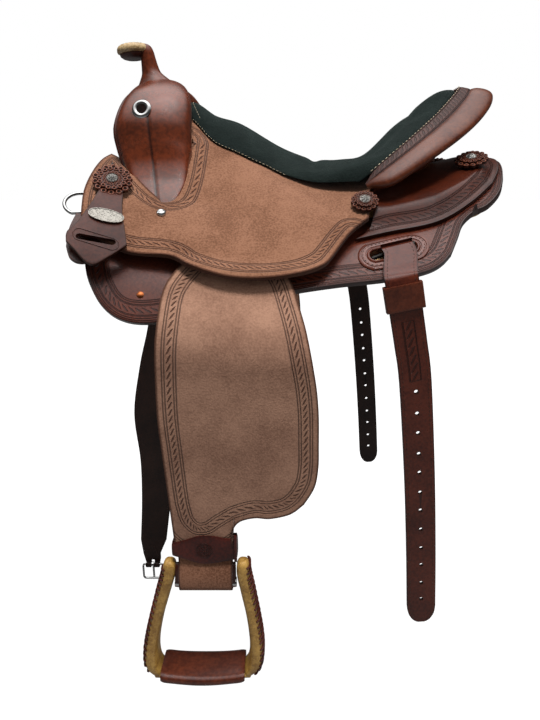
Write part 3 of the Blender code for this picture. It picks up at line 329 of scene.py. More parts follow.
def sheet(name, spans, rows, spot):
    """A grid of faces. `spot` gives, for a column and a row, the vertex's place and its flat
    place, which the "pattern" UV map keeps."""
    bpy.ops.mesh.primitive_grid_add(x_subdivisions=spans, y_subdivisions=rows, size=2)
    piece = bpy.context.object
    piece.name = name
    flat = []
    for vert in piece.data.vertices:
        column, row = round((vert.co.x + 1) / 2 * spans), round((1 - vert.co.y) / 2 * rows)
        vert.co, place = spot(column, row)
        flat.append(tuple(place))
    piece.data.uv_layers.active.name = "pattern"
    for loop, corner in zip(piece.data.loops, piece.data.uv_layers["pattern"].data):
        corner.uv = flat[loop.vertex_index]
    return piece


def walled(piece, thick, round_edge):
    """Gives a sheet its thickness inward and rounds its edges by a share of it."""
    wall = piece.modifiers.new("thickness", "SOLIDIFY")
    wall.thickness = thick
    wall.offset = -1
    if round_edge:
        edge = piece.modifiers.new("rounded_edge", "BEVEL")
        edge.width = thick * round_edge
        edge.segments = 2
        edge.limit_method = "ANGLE"
        edge.angle_limit = math.radians(50)
    return piece


def flap(name, grid, face, thick, round_edge=0.3, joined=False):
    """A sheet over a grid of pattern places: its outer face by `face`, then its thickness.

    The "pattern" UV map keeps each corner's place on the flat pattern, in metres."""
    piece = sheet(name, len(grid[0]) - 1, len(grid) - 1, lambda i, j: (face(grid[j][i]), grid[j][i][:2]))
    if joined:
        enter_mesh()
        bpy.ops.mesh.remove_doubles(threshold=0.00005)
        bpy.ops.object.mode_set(mode="OBJECT")
    return walled(piece, thick, round_edge)


def other_side(piece, name):
    """The same piece for the off side, mirrored across the middle of the saddle."""
    copy = piece.copy()
    copy.data = piece.data.copy()
    copy.name = name
    bpy.context.collection.objects.link(copy)
    copy.data.transform(Matrix.Scale(-1, 4, (0, 1, 0)))
    copy.data.flip_normals()
    return copy


def fit(piece, look, body, slot, *nodes):
    """Gives a finished piece its material, its body and the solids it stands for."""
    piece.data.materials.clear()
    piece.data.materials.append(look)
    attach(piece, body)
    if nodes:
        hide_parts(*nodes)
    return piece


def fit_both(piece, look, body, slot, *nodes):
    """Fits a near-side piece and its mirrored copy, whose names say off where its own say near."""
    names = [name.replace("_near", "_off") for name in (piece.name, body, *nodes)]
    off = other_side(piece, names[0])
    return fit(piece, look, body, slot, *nodes), fit(off, look, names[1], slot, *names[2:])


def shearling(name):
    """Sheep's wool: matt, with soft fibres; its colour is painted paler on the tufts' tips as painted
    highlight and darker between tufts as painted shade.
    """
    made, tree, shader, place = fresh(name)
    tuft = add_node(tree, "ShaderNodeTexVoronoi", {"Vector": place, "Scale": 1 / 0.007})
    curl = add_node(tree, "ShaderNodeTexNoise", {"Vector": place, "Scale": 1 / 0.0025,
                                                 "Detail": 4.0})
    # Pale near the cells' middles, dark towards their borders: painted highlight on the tufts and painted
    # shade between them.
    depth = add_node(tree, "ShaderNodeMath", {0: tuft.outputs["Distance"],
                                              1: curl.outputs["Fac"]}, operation="MULTIPLY")
    share = add_node(tree, "ShaderNodeMapRange", {0: depth.outputs[0], 1: 0.10, 2: 0.42})
    tone = add_node(tree, "ShaderNodeMix", {0: share.outputs[0], 6: paint("d8bd8f"),
                                            7: paint("94754a")}, data_type="RGBA")
    tree.links.new(tone.outputs[2], shader.inputs["Base Color"])
    rise = add_node(tree, "ShaderNodeBump", {"Height": curl.outputs["Fac"], "Strength": 0.9,
                                             "Distance": 0.0022})
    tree.links.new(rise.outputs[0], shader.inputs["Normal"])
    shader.inputs["Roughness"].default_value = 1.0
    shader.inputs["Sheen Weight"].default_value = 0.35
    return made


WOOL_TOP = -SKIRT_THICK - 0.0010
grid = evened(pattern(SKIRT_TOP, SKIRT_LOW, SKIRT_FRONT, SKIRT_REAR, 100, 66))
middle = Vector((0.030, 0.150))
grid = [[middle + (point - middle) * 0.962 for point in row] for row in grid]
fleece = flap("fleece_lining_near", grid, lambda p: drape(p.x, p.y, WOOL_TOP), 0.012, 0)
apply_all(fleece)
outline = np.array([tuple(p[:2]) for edge in (grid[0], [row[-1] for row in grid], grid[-1][::-1],
                                              [row[0] for row in grid][::-1]) for p in edge])
for vert in fleece.data.vertices:
    axis = Vector((vert.co.x, 0, crest(vert.co.x) - BACK_RADIUS))
    spoke = vert.co - axis
    lift = spoke.length - BACK_RADIUS
    if lift < WOOL_TOP - 0.004:
        place = np.array([[vert.co.x, BACK_RADIUS * math.atan2(-spoke.y, spoke.z)]])
        full = 0.25 + 0.75 * ease(float(measured(place, outline)[0][0]) / 0.045)
        tuft = noise.noise(vert.co / 0.011) + 0.6 * noise.noise(vert.co / 0.005)
        vert.co = axis + spoke.normalized() * (BACK_RADIUS + WOOL_TOP - (0.0132 + 0.0022 * tuft) * full)
wool = shearling("sheared_wool")
for piece in fit_both(fleece, wool, "saddle", "fleece", "fleece_near"):
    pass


# Skirts: 8 mm of oiled harness leather, the lowest layer. A knife-cut line and a stamped leaf
# border run round the edge, and a slot with round ends is punched for the rear rigging.
SLOT_FRONT = Vector((0.1145, 0.2340))
SLOT_REAR = Vector((0.1535, 0.2272))
SLOT_HALF = 0.0085


def fine(*edges):
    """Edges of a pattern as one fine line."""
    return np.array([tuple(p[:2]) for edge in edges for p in curve_through(edge, 6)])


def noted(piece, label, values):
    """Keeps one number for each vertex under a label that materials read."""
    kept = piece.data.attributes.new(label, "FLOAT", "POINT")
    kept.data.foreach_set("value", values.astype(np.float32))


def flat_places(piece):
    """Each vertex's place on the flat pattern, from the "pattern" UV map."""
    mesh = piece.data
    places = np.zeros(len(mesh.loops) * 2, np.float32)
    mesh.uv_layers["pattern"].data.foreach_get("uv", places)
    owner = np.zeros(len(mesh.loops), np.int32)
    mesh.loops.foreach_get("vertex_index", owner)
    flat = np.zeros((len(mesh.vertices), 2))
    flat[owner] = places.reshape(-1, 2)
    return flat


def mark(piece, outline, guide=None):
    """Keeps each vertex's distance from the outline, and from and along the tooling's guide."""
    flat = flat_places(piece)
    gap, run = measured(flat, guide if guide is not None else outline)
    for label, values in (("edge", measured(flat, outline)[0]), ("gap", gap), ("run", run)):
        noted(piece, label, values)


def stamped_leaves(tree, middle, half, pitch, lines=(1.35,)):
    """A border of slanted leaf stamps between cut lines: 1 where the tool went in."""
    gap = add_node(tree, "ShaderNodeAttribute", attribute_name="gap").outputs["Fac"]
    run = add_node(tree, "ShaderNodeAttribute", attribute_name="run").outputs["Fac"]
    off = add_node(tree, "ShaderNodeMath", {0: gap, 1: middle}, operation="SUBTRACT")
    v = add_node(tree, "ShaderNodeMath", {0: off.outputs[0], 1: 1 / half}, operation="MULTIPLY")
    u = add_node(tree, "ShaderNodeMath", {0: run, 1: 1 / pitch}, operation="MULTIPLY")
    slant = add_node(tree, "ShaderNodeMath", {0: v.outputs[0], 1: 0.60, 2: u.outputs[0]},
                     operation="MULTIPLY_ADD")
    cell = add_node(tree, "ShaderNodeMath", {0: slant.outputs[0]}, operation="FRACT")
    q = add_node(tree, "ShaderNodeMath", {0: cell.outputs[0], 1: 0.5}, operation="SUBTRACT")
    across = add_node(tree, "ShaderNodeMath", {0: q.outputs[0]}, operation="ABSOLUTE")
    tall = add_node(tree, "ShaderNodeMath", {0: v.outputs[0], 1: v.outputs[0]},
                    operation="MULTIPLY")
    lens = add_node(tree, "ShaderNodeMath", {0: tall.outputs[0], 1: 0.26, 2: across.outputs[0]},
                    operation="MULTIPLY_ADD")
    found = add_node(tree, "ShaderNodeMapRange", {0: lens.outputs[0], 1: 0.16, 2: 0.28, 3: 1.0,
                                                  4: 0.0}, interpolation_type="SMOOTHSTEP")
    height = add_node(tree, "ShaderNodeMath", {0: v.outputs[0]}, operation="ABSOLUTE")
    for line in lines:
        away = add_node(tree, "ShaderNodeMath", {0: height.outputs[0], 1: line},
                        operation="SUBTRACT")
        away = add_node(tree, "ShaderNodeMath", {0: away.outputs[0]}, operation="ABSOLUTE")
        cut = add_node(tree, "ShaderNodeMapRange", {0: away.outputs[0], 1: 0.0002 / half,
                                                    2: 0.0009 / half, 3: 0.9, 4: 0.0})
        found = add_node(tree, "ShaderNodeMath", {0: found.outputs[0], 1: cut.outputs[0]},
                         operation="MAXIMUM")
    return found.outputs[0]


def hide(name, face, deep, gloss, grain, relief, nap=0.0, coat=0.0, ink="2a120c", border=None,
         burnished=0.0022, speckle=0.35, seam=0.0):
    """Leather: soft blotches of two tones, its own grain or nap, and dark burnished edges."""
    made, tree, shader, place = fresh(name)
    cloud = add_node(tree, "ShaderNodeTexNoise", {"Vector": place, "Scale": 1 / 0.055,
                                                  "Detail": 5.0, "Roughness": 0.6})
    pore = add_node(tree, "ShaderNodeTexNoise", {"Vector": place, "Scale": 1 / grain,
                                                 "Detail": 3.0})
    share = add_node(tree, "ShaderNodeMapRange", {0: cloud.outputs["Fac"], 1: 0.32, 2: 0.70})
    fleck = add_node(tree, "ShaderNodeMapRange", {0: pore.outputs["Fac"], 1: 0.35, 2: 0.68,
                                                  3: -speckle, 4: speckle})
    both = add_node(tree, "ShaderNodeMath", {0: share.outputs[0], 1: fleck.outputs[0]},
                    operation="ADD", use_clamp=True)
    tone = add_node(tree, "ShaderNodeMix", {0: both.outputs[0], 6: paint(face), 7: paint(deep)},
                    data_type="RGBA").outputs[2]
    height = add_node(tree, "ShaderNodeMath", {0: pore.outputs["Fac"], 1: relief},
                      operation="MULTIPLY").outputs[0]
    if border:
        cut = stamped_leaves(tree, *border)
        part = add_node(tree, "ShaderNodeMath", {0: cut, 1: 0.80}, operation="MULTIPLY")
        tone = add_node(tree, "ShaderNodeMix", {0: part.outputs[0], 6: tone, 7: paint(ink)},
                        data_type="RGBA").outputs[2]
        height = add_node(tree, "ShaderNodeMath", {0: cut, 1: -0.0011, 2: height},
                          operation="MULTIPLY_ADD").outputs[0]
    if burnished:
        edge = add_node(tree, "ShaderNodeAttribute", attribute_name="edge").outputs["Fac"]
        rim = add_node(tree, "ShaderNodeMapRange", {0: edge, 1: burnished * 0.35, 2: burnished,
                                                    3: 0.85, 4: 0.0})
        tone = add_node(tree, "ShaderNodeMix", {0: rim.outputs[0], 6: tone, 7: paint(ink)},
                        data_type="RGBA").outputs[2]
    if seam:
        gap = add_node(tree, "ShaderNodeAttribute", attribute_name="gap").outputs["Fac"]
        sunk = add_node(tree, "ShaderNodeMapRange", {0: gap, 1: seam * 0.3, 2: seam, 3: 0.85, 4: 0.0})
        tone = add_node(tree, "ShaderNodeMix", {0: sunk.outputs[0], 6: tone, 7: paint(ink)},
                        data_type="RGBA").outputs[2]
    tree.links.new(tone, shader.inputs["Base Color"])
    rise = add_node(tree, "ShaderNodeBump", {"Height": height, "Strength": 1.0, "Distance": 1.0})
    tree.links.new(rise.outputs[0], shader.inputs["Normal"])
    spread = add_node(tree, "ShaderNodeMapRange", {0: cloud.outputs["Fac"], 1: 0.3, 2: 0.7,
                                                   3: gloss - 0.05, 4: gloss + 0.08})
    tree.links.new(spread.outputs[0], shader.inputs["Roughness"])
    shader.inputs["Specular IOR Level"].default_value = 0.15 if nap else 0.28
    shader.inputs["Sheen Weight"].default_value = nap
    shader.inputs["Sheen Roughness"].default_value = 0.5
    shader.inputs["Coat Weight"].default_value = coat
    shader.inputs["Coat Roughness"].default_value = 0.25
    return made


def punched(piece, front, rear, half, face, depth=0.03):
    """Cuts a round-ended slot through a sheet, from one pattern place to another."""
    a, b = face(*front), face(*rear)
    middle = (front + rear) / 2
    out = (face(middle.x, middle.y, 0.01) - face(middle.x, middle.y, 0)).normalized()
    along = (b - a).normalized()
    turn = Matrix((along, out.cross(along), out)).transposed().to_4x4()
    bpy.ops.mesh.primitive_circle_add(vertices=48, radius=half, fill_type="NGON")
    cutter = bpy.context.object
    for vert in cutter.data.vertices:
        vert.co.x += math.copysign((b - a).length / 2, vert.co.x)
    enter_mesh()
    bpy.ops.mesh.extrude_region_move(TRANSFORM_OT_translate={"value": (0, 0, depth)})
    leave_mesh()
    cutter.data.transform(Matrix.Translation((a + b) / 2) @ turn @ Matrix.Translation((0, 0, -depth / 2)))
    boolean = piece.modifiers.new("slot", "BOOLEAN")
    boolean.object = cutter
    boolean.solver = "EXACT"
    apply_all(piece)
    bpy.data.objects.remove(cutter, do_unlink=True)


grid = evened(pattern(SKIRT_TOP, SKIRT_LOW, SKIRT_FRONT, SKIRT_REAR, 130, 84))
skirt = flap("skirt_leather_near", grid, lambda p: drape(p.x, p.y), SKIRT_THICK)
apply_all(skirt)
punched(skirt, SLOT_FRONT, SLOT_REAR, SLOT_HALF, drape)
mark(skirt, fine(SKIRT_TOP, SKIRT_REAR, SKIRT_LOW[::-1], SKIRT_FRONT[::-1]),
     fine(SKIRT_FRONT[:-1], SKIRT_LOW, SKIRT_REAR[::-1]))
oiled = hide("tooled_oiled_leather", "4f2417", "34150e", 0.30, 0.0030, 0.00018, coat=0.15,
             border=(0.0140, 0.0038, 0.0100, (1.5, 1.8, 2.5, 3.1)), ink="1e0b08")
fit_both(skirt, oiled, "saddle", "tooled_leather", "skirt_near")


# Rear jockeys: smooth saddle leather over the bars behind the cantle, lying on the skirts. The
# middle is left plain and redder; a leaf border is stamped 11 mm in from the edge.
def rear_jockey_lift(x, s):
    """How far the rear jockey's inner face stands above the skirt: it lies over the bar."""
    low = float(np.interp(x, (0.132, 0.192, 0.237, 0.270, 0.288, 0.299), (0.201, 0.194, 0.168, 0.136, 0.100,
                                                                         0.060)))
    return 0.0012 + 0.0125 * ease((0.287 - x) / 0.030) * ease((low - 0.004 - s) / 0.032)


def on_rear(x, s, lift=0.0):
    """The point `lift` above the rear jockey's outer face."""
    return drape(x, s, rear_jockey_lift(x, s) + 0.0045 + lift)


JOCKEY_TOP = ((0.1270, 0.060), (0.160, 0.040), (0.200, 0.012), (0.302, 0.006))
JOCKEY_LOW = ((0.0900, 0.2095), (0.132, 0.201), (0.192, 0.194), (0.237, 0.168), (0.270, 0.136))
JOCKEY_FRONT = ((0.1270, 0.060), (0.1240, 0.083), (0.1180, 0.140), (0.1110, 0.1880),
                (0.0900, 0.2095))
JOCKEY_REAR = ((0.302, 0.006), (0.299, 0.060), (0.288, 0.100), (0.270, 0.136))
grid = pattern(JOCKEY_TOP, JOCKEY_LOW, JOCKEY_FRONT, JOCKEY_REAR, 70, 66)
jockey = flap("rear_jockey_leather_near", grid, lambda p: on_rear(p.x, p.y), 0.0045)
apply_all(jockey)
mark(jockey, fine(JOCKEY_TOP, JOCKEY_REAR, JOCKEY_LOW[::-1], JOCKEY_FRONT[::-1]),
     fine(JOCKEY_LOW, JOCKEY_REAR[::-1]))
saddle_tan = hide("tooled_saddle_leather", "3d180c", "260d07", 0.32, 0.0030, 0.00016, coat=0.08,
                  border=(0.0150, 0.0031, 0.0090, (1.6, 2.3)), ink="1f0b07")
fit_both(jockey, saddle_tan, "saddle", "tooled_leather", "rear_jockey_near")


# Seat leather and jockeys: one rough-out piece a side, flesh side out, cut round the fork. The
# nap is brushed, the edges are rubbed dark, and a leaf border follows the cut-out and low edge.
RIDGE = np.array((
    (-0.245, 0.058), (-0.200, 0.062), (-0.160, 0.086), (-0.124, 0.106), (-0.091, 0.089),
    (-0.055, 0.078), (-0.003, 0.048), (0.031, 0.035), (0.059, 0.028), (0.090, 0.027),
    (0.127, 0.034), (0.173, 0.077), (0.223, 0.117), (0.260, 0.128),
))
ridge_line = np.array([tuple(p) for p in curve_through([tuple(p) for p in RIDGE])])


def seat_height(x, y):
    """Height of the seat leather's face."""
    shoulder = BACK_RADIUS + 0.018
    side = crest(x) + 0.018 - shoulder + math.sqrt(shoulder**2 - y**2)
    spread = 0.17 + 0.05 * ease((x + 0.10) / 0.12)
    rise = float(np.interp(x, ridge_line[:, 0], ridge_line[:, 1])) - crest(x) - 0.018
    return side + rise * max(0.0, 1 - (y / spread) ** 2) ** 1.5


def on_seat(x, s, lift=0.0):
    """The point over pattern place (x, s), `lift` above the seat leather's face."""
    across = (BACK_RADIUS + 0.018) * math.sin(s / BACK_RADIUS)
    return Vector((x, -across, seat_height(x, across))) + outward(s) * lift


CUT_OUT = (
    (-0.226, 0.078), (-0.208, 0.098), (-0.196, 0.117), (-0.181, 0.139), (-0.166, 0.155),
    (-0.150, 0.168), (-0.1405, 0.169), (-0.1335, 0.160), (-0.1290, 0.142), (-0.1275, 0.115),
    (-0.1275, 0.085), (-0.131, 0.050), (-0.137, 0.020), (-0.1405, 0.0006),
)
CUT_BORDER = (*CUT_OUT[:6], (-0.138, 0.170), (-0.1265, 0.161), (-0.1205, 0.142), (-0.1175, 0.115),
              (-0.1165, 0.085))
SEAT_TOP = (*CUT_OUT, (-0.050, 0.0006), (0.050, 0.0006), (0.125, 0.0006))
SEAT_LOW = (
    (-0.226, 0.240), (-0.200, 0.257), (-0.169, 0.265), (-0.125, 0.261), (-0.103, 0.271),
    (-0.081, 0.278), (-0.058, 0.282), (-0.030, 0.282), (0.000, 0.278), (0.029, 0.270),
    (0.050, 0.258), (0.061, 0.245), (0.073, 0.226), (0.085, 0.209), (0.107, 0.188),
)
SEAT_FRONT = ((-0.226, 0.078), (-0.231, 0.105), (-0.233, 0.148), (-0.233, 0.186),
              (-0.230, 0.214), (-0.226, 0.240))
SEAT_REAR = ((0.125, 0.0006), (0.120, 0.083), (0.114, 0.140), (0.107, 0.188))
grid = pattern(SEAT_TOP, SEAT_LOW, SEAT_FRONT, SEAT_REAR, 170, 70)


cut_line = fine(CUT_OUT)


def fitted_seat(p):
    """The seat leather's face: it dives 5 mm under the fork's rear edge, and over the fender its
    low edge stands 8 mm further off."""
    flare = 0.008 * ease((p.y - 0.250) / 0.030) * ease((p.x + 0.155) / 0.040)
    gap = float(measured(np.array([tuple(p[:2])]), cut_line)[0][0])
    dive = 0.005 * (1 - ease(gap / 0.009)) * ease((p.x + 0.152) / 0.008)
    return on_seat(p.x, max(p.y, 0.0004), flare - dive)


seat_leather = flap("seat_jockey_leather_near", grid, fitted_seat, 0.005, 0.38)
apply_all(seat_leather)
mark(seat_leather, fine(SEAT_FRONT[:-1], SEAT_LOW, SEAT_REAR[::-1], SEAT_TOP[::-1]),
     np.vstack((fine(CUT_BORDER)[::-1], fine(SEAT_FRONT[:-1], SEAT_LOW[:-1]))))
roughout = hide("rough_out_leather", "815b46", "644331", 0.88, 0.0022, 0.00045, nap=0.10,
                border=(0.0145, 0.0029, 0.0085, (1.6, 2.4)), ink="32180f", burnished=0.0030,
                speckle=0.55)
fit_both(seat_leather, roughout, "saddle", "rough_leather", "seat_jockey_near")


# Cantle rim: a stamped binding next to the seat, then the Cheyenne roll, a smooth round lip of
# leather. A row of pale thread runs along the binding's inner edge.
RIM_INNER = ((0.2505, 0, 0.1380), (0.2480, -0.017, 0.1362), (0.230, -0.045, 0.1185),
             (0.197, -0.086, 0.089), (0.159, -0.118, 0.058), (0.128, -0.134, 0.033),
             (0.104, -0.141, 0.012))
RIM_OUTER = ((0.3015, 0, 0.1290), (0.2990, -0.020, 0.1272), (0.289, -0.046, 0.1120),
             (0.262, -0.087, 0.088), (0.232, -0.121, 0.067), (0.196, -0.147, 0.044), (0.158, -0.164, 0.020),
             (0.130, -0.170, 0.004), (0.112, -0.166, -0.002))


def rim_frames(spans):
    """Inner rim point, the way across the rim and its upward normal, near end to off end."""
    pairs = list(zip(spaced(RIM_INNER, spans), spaced(RIM_OUTER, spans)))
    flip = Vector((1, -1, 1))
    pairs = pairs[::-1] + [(a * flip, b * flip) for a, b in pairs[1:]]
    found = []
    for index, (inner, outer) in enumerate(pairs):
        before, after = pairs[max(index - 1, 0)], pairs[min(index + 1, len(pairs) - 1)]
        tangent = (after[0] + after[1] - before[0] - before[1]).normalized()
        up = tangent.cross(outer - inner).normalized()
        found.append((inner, outer - inner, up if up.z > 0 else -up))
    return found


def lofted(name, rings, caps=True):
    """A closed skin through rings of points, with a UV map of metres along and share around."""
    around = len(rings[0])
    reach = [0.0]
    for a, b in zip(rings, rings[1:]):
        step = sum(b, Vector()) / len(b) - sum(a, Vector()) / len(a)
        reach.append(reach[-1] + step.length)
    piece = sheet(name, around, len(rings) - 1,
                  lambda i, j: (rings[j][i % around], (reach[j], i / around)))
    enter_mesh()
    bpy.ops.mesh.remove_doubles(threshold=0.00001)
    if caps:
        bpy.ops.mesh.select_all(action="DESELECT")
        bpy.ops.mesh.select_non_manifold()
        bpy.ops.mesh.edge_face_add()
    leave_mesh()
    bpy.ops.object.shade_smooth_by_angle(angle=math.radians(50))
    return piece


def oval(centre, along, across, points=24, square=2.0):
    """A ring of points; a higher `square` gives it flatter sides."""
    ring = []
    for i in range(points):
        angle = math.tau * (i + 0.5) / points
        c, s = math.cos(angle), math.sin(angle)
        ring.append(Vector(centre)
                    + Vector(along) * math.copysign(abs(c) ** (2 / square), c)
                    + Vector(across) * math.copysign(abs(s) ** (2 / square), s))
    return ring


def rim_piece(name, first, last, thick, sink, square):
    """A strip of the rim that covers a share of its width, rounded off at both ends."""
    frames = rim_frames(40)
    rings = []
    for index, (inner, across, up) in enumerate(frames):
        close = min(index, len(frames) - 1 - index)
        full = (0.30, 0.62, 0.84, 0.95)[close] if close < 4 else 1.0
        share = (0.42 + (first + last - 0.84) / 2 * (0.2, 0.5, 0.78, 0.93)[close] if close < 4
                 else (first + last) / 2)
        centre = inner + across * share - up * sink
        rings.append(oval(centre, across * (last - first) / 2 * full, up * thick / 2 * full, 24,
                          square))
    return lofted(name, rings)


binding = rim_piece("cantle_binding_leather", 0.02, 0.39, 0.0070, 0.000, 3.0)
places = np.array([tuple(item.uv) for item in binding.data.uv_layers["pattern"].data])
owners = np.array([loop.vertex_index for loop in binding.data.loops])
share, run = np.zeros(len(binding.data.vertices)), np.zeros(len(binding.data.vertices))
share[owners] = 0.5 + 0.5 * np.cos(math.tau * places[:, 1])
run[owners] = places[:, 0]
for label, values in (("gap", share * 0.020), ("run", run), ("edge", np.full(len(run), 0.01))):
    noted(binding, label, values)
bound = hide("tooled_binding_leather", "3c1d15", "240f09", 0.40, 0.0030, 0.00018, coat=0.0,
             border=(0.0115, 0.0034, 0.0085, (1.4, 1.9)), ink="220d08")
fit(binding, bound, "saddle", "tooled_leather", "cantle_binding")

roll = rim_piece("cheyenne_roll_leather", 0.34, 1.0, 0.0150, 0.001, 2.2)
glossy = hide("polished_bridle_leather", "552a17", "38150a", 0.30, 0.0040, 0.00008, coat=0.25,
              burnished=0)
fit(roll, glossy, "saddle", "smooth_leather", "cheyenne_roll")
recoat(glossy, "cantle_back")


# Seat: suede over 9 mm of foam, glued to the seat leather and drawn in under the binding. It is
# crowned, thin at its edge, and turns up the cantle; a cloth run swells it under its cover.
PAD_EDGE = ((-0.119, 0.056), (-0.083, 0.084), (-0.041, 0.101), (-0.016, 0.106), (0.016, 0.118),
            (0.042, 0.128), (0.068, 0.133), (0.086, 0.136), (0.100, 0.139))
rim = [(x, -y, z) for x, y, z in RIM_INNER]
PAD_SPANS, PAD_ROWS = 80, 24
half = pattern(((-0.136, 0), (0.060, 0), (rim[0][0] - 0.002, 0)), PAD_EDGE,
               ((-0.136, 0), (-0.129, 0.032), (-0.119, 0.056)),
               [(x - 0.002, y) for x, y, _ in rim[:-1]] + [(0.100, 0.139)], PAD_SPANS, PAD_ROWS)
rim_line = spaced(rim, PAD_ROWS)


def pad_row(j, sign):
    """Places of one row of the pad, with how far it is dished up and how thick it is."""
    v = j / PAD_ROWS
    lift = rim_line[j].z - 0.002 - seat_height(rim_line[j].x, rim_line[j].y) - 0.0035
    line = []
    for i, point in enumerate(half[j]):
        u = i / PAD_SPANS
        dish = max(lift, 0.0) * ease((u - 0.45) / 0.55) ** 1.3
        crown = (1 - v**4) * (1 - max(2 * u - 1, 0.0) ** 8)
        front = 0.002 * ease(1 - u / 0.10) * (1 - v * v)
        line.append(Vector((point.x, sign * point.y, dish, 0.0035 + 0.009 * crown + front)))
    return line


def pad_face(p):
    return Vector((p.x, p.y, seat_height(p.x, abs(p.y)) + 0.0018 + p.z + p.w - 0.0008))


grid = ([pad_row(j, 1) for j in range(PAD_ROWS, 0, -1)]
        + [pad_row(j, -1) for j in range(PAD_ROWS + 1)])
pad = flap("suede_seat", grid, pad_face, 0.002, 0)
select_only(pad)
bpy.ops.object.modifier_apply(modifier="thickness")
upper = len(pad.data.vertices) // 2
held = pad.vertex_groups.new(name="glued")
for index, vert in enumerate(pad.data.vertices):
    row, column = divmod(index % upper, PAD_SPANS + 1)
    rim_row, rim_column = row in (0, 2 * PAD_ROWS), column in (0, PAD_SPANS)
    if index >= upper:
        place = grid[2 * PAD_ROWS - row][column]
        vert.co = Vector((place.x, place.y, pad_face(place).z - place.w + 0.0008))
    if index >= upper or rim_row or rim_column:
        held.add([index], 1.0, "REPLACE")
drawn = [vert.co.copy() for vert in pad.data.vertices]
cloth = pad.modifiers.new("swell", "CLOTH")
cloth.settings.quality = 5
cloth.settings.mass = 0.4
cloth.settings.tension_stiffness = cloth.settings.compression_stiffness = 30
cloth.settings.vertex_group_mass = "glued"
cloth.settings.use_pressure = True
cloth.settings.uniform_pressure_force = 4.0
cloth.settings.effector_weights.gravity = 0.0
for step in range(1, 21):
    bpy.context.scene.frame_set(step)
bpy.ops.object.modifier_apply(modifier="swell")
for vert, start in zip(pad.data.vertices, drawn):
    move = vert.co - start
    if move.length > 0.0030:
        vert.co = start + move.normalized() * 0.0030
bpy.context.scene.frame_set(1)
pad.modifiers.new("smooth", "SUBSURF").levels = 1
pad.modifiers["smooth"].render_levels = 1
apply_all(pad)


def napped_suede(name, dark, pale):
    """Buffed split leather: no shine, pale patches painted in as the sheen where the nap turns, and 1.5 mm
    specks.
    """
    made, tree, shader, place = fresh(name)
    brushed = add_node(tree, "ShaderNodeTexNoise", {"Vector": place, "Scale": 1 / 0.030,
                                                    "Detail": 5.0, "Roughness": 0.65})
    nap = add_node(tree, "ShaderNodeTexNoise", {"Vector": place, "Scale": 1 / 0.0016,
                                                "Detail": 3.0})
    share = add_node(tree, "ShaderNodeMath", {0: brushed.outputs["Fac"],
                                              1: nap.outputs["Fac"]}, operation="MULTIPLY")
    share = add_node(tree, "ShaderNodeMapRange", {0: share.outputs[0], 1: 0.13, 2: 0.40})
    # The pale tone is painted sheen of the turned nap, spread by the 30 mm noise.
    tone = add_node(tree, "ShaderNodeMix", {0: share.outputs[0], 6: paint(dark),
                                            7: paint(pale)}, data_type="RGBA")
    tree.links.new(tone.outputs[2], shader.inputs["Base Color"])
    rise = add_node(tree, "ShaderNodeBump", {"Height": share.outputs[0], "Strength": 0.8,
                                             "Distance": 0.0008})
    tree.links.new(rise.outputs[0], shader.inputs["Normal"])
    shader.inputs["Roughness"].default_value = 1.0
    shader.inputs["Specular IOR Level"].default_value = 0.15
    shader.inputs["Sheen Weight"].default_value = 0.12
    shader.inputs["Sheen Tint"].default_value = paint("6f8783")
    return made


fit(pad, napped_suede("green_black_suede", "0c1110", "1b2220"), "saddle", "suede", "seat_pad")


# Seat stitching: pale waxed thread, 6 stitches to the inch drawn as 5 mm ones, along the seat's
# low edge and beside the cantle binding.
def stitches(name, spots, long, thick, look, body, slot):
    """One short round stitch at each (point, along, out)."""
    bpy.ops.mesh.primitive_uv_sphere_add(segments=6, ring_count=4, radius=0.5)
    piece = bpy.context.object
    piece.name = name
    seed = piece.data.copy()
    sewn = bmesh.new()
    for point, along, out in spots:
        along = along.normalized()
        side = out.cross(along).normalized()
        shape = Matrix((along * long, side * thick, along.cross(side) * thick)).transposed()
        stitch = seed.copy()
        stitch.transform(Matrix.Translation(point) @ shape.to_4x4())
        sewn.from_mesh(stitch)
        bpy.data.meshes.remove(stitch)
    sewn.to_mesh(piece.data)
    sewn.free()
    select_only(piece)
    bpy.ops.object.mode_set(mode="EDIT")
    leave_mesh()
    bpy.ops.object.shade_smooth()
    return fit(piece, look, body, slot)


def along_line(points, outs, pitch):
    """Spots for stitches along a line of points: (point, along, out) at an even pitch."""
    found = []
    carry = pitch / 2
    for index in range(len(points) - 1):
        a, b = points[index], points[index + 1]
        span = (b - a).length
        while carry < span:
            out = outs[index].lerp(outs[index + 1], carry / span)
            found.append((a.lerp(b, carry / span), b - a, out))
            carry += pitch
        carry -= span
    return found


def sewn_on(face, places, pitch, lift=0.0002):
    """Spots for stitches that follow pattern places over a face."""
    points = [face(x, s, lift) for x, s in places]
    outs = [(face(x, s, 0.01) - face(x, s, 0)).normalized() for x, s in places]
    return along_line(points, outs, pitch)


def waxed_thread(name, colour):
    """Waxed linen: a dull shine, and a two-ply twist 1 mm long that darkens it in lines."""
    made, tree, shader, place = fresh(name)
    twist = add_node(tree, "ShaderNodeTexNoise", {"Vector": place, "Scale": 1 / 0.001})
    tone = add_node(tree, "ShaderNodeMix", {0: twist.outputs["Fac"], 6: paint(colour),
                                            7: [c * 0.6 for c in paint(colour)[:3]] + [1.0]},
                    data_type="RGBA")
    tree.links.new(tone.outputs[2], shader.inputs["Base Color"])
    shader.inputs["Roughness"].default_value = 0.55
    return made


pale_thread = waxed_thread("waxed_pale_thread", "b9aa90")
dark_thread = waxed_thread("waxed_brown_thread", "3a2319")
suede_skin = BVHTree.FromObject(pad, bpy.context.evaluated_depsgraph_get())
edge_line = [p.to_2d() for p in curve_through(PAD_EDGE, 8)]
front_line = [Vector((-0.119 - 0.014 * t / 12 * (2 - t / 12) + 0.0105, 0.0560 - 0.042 * t / 12))
              for t in range(13)]


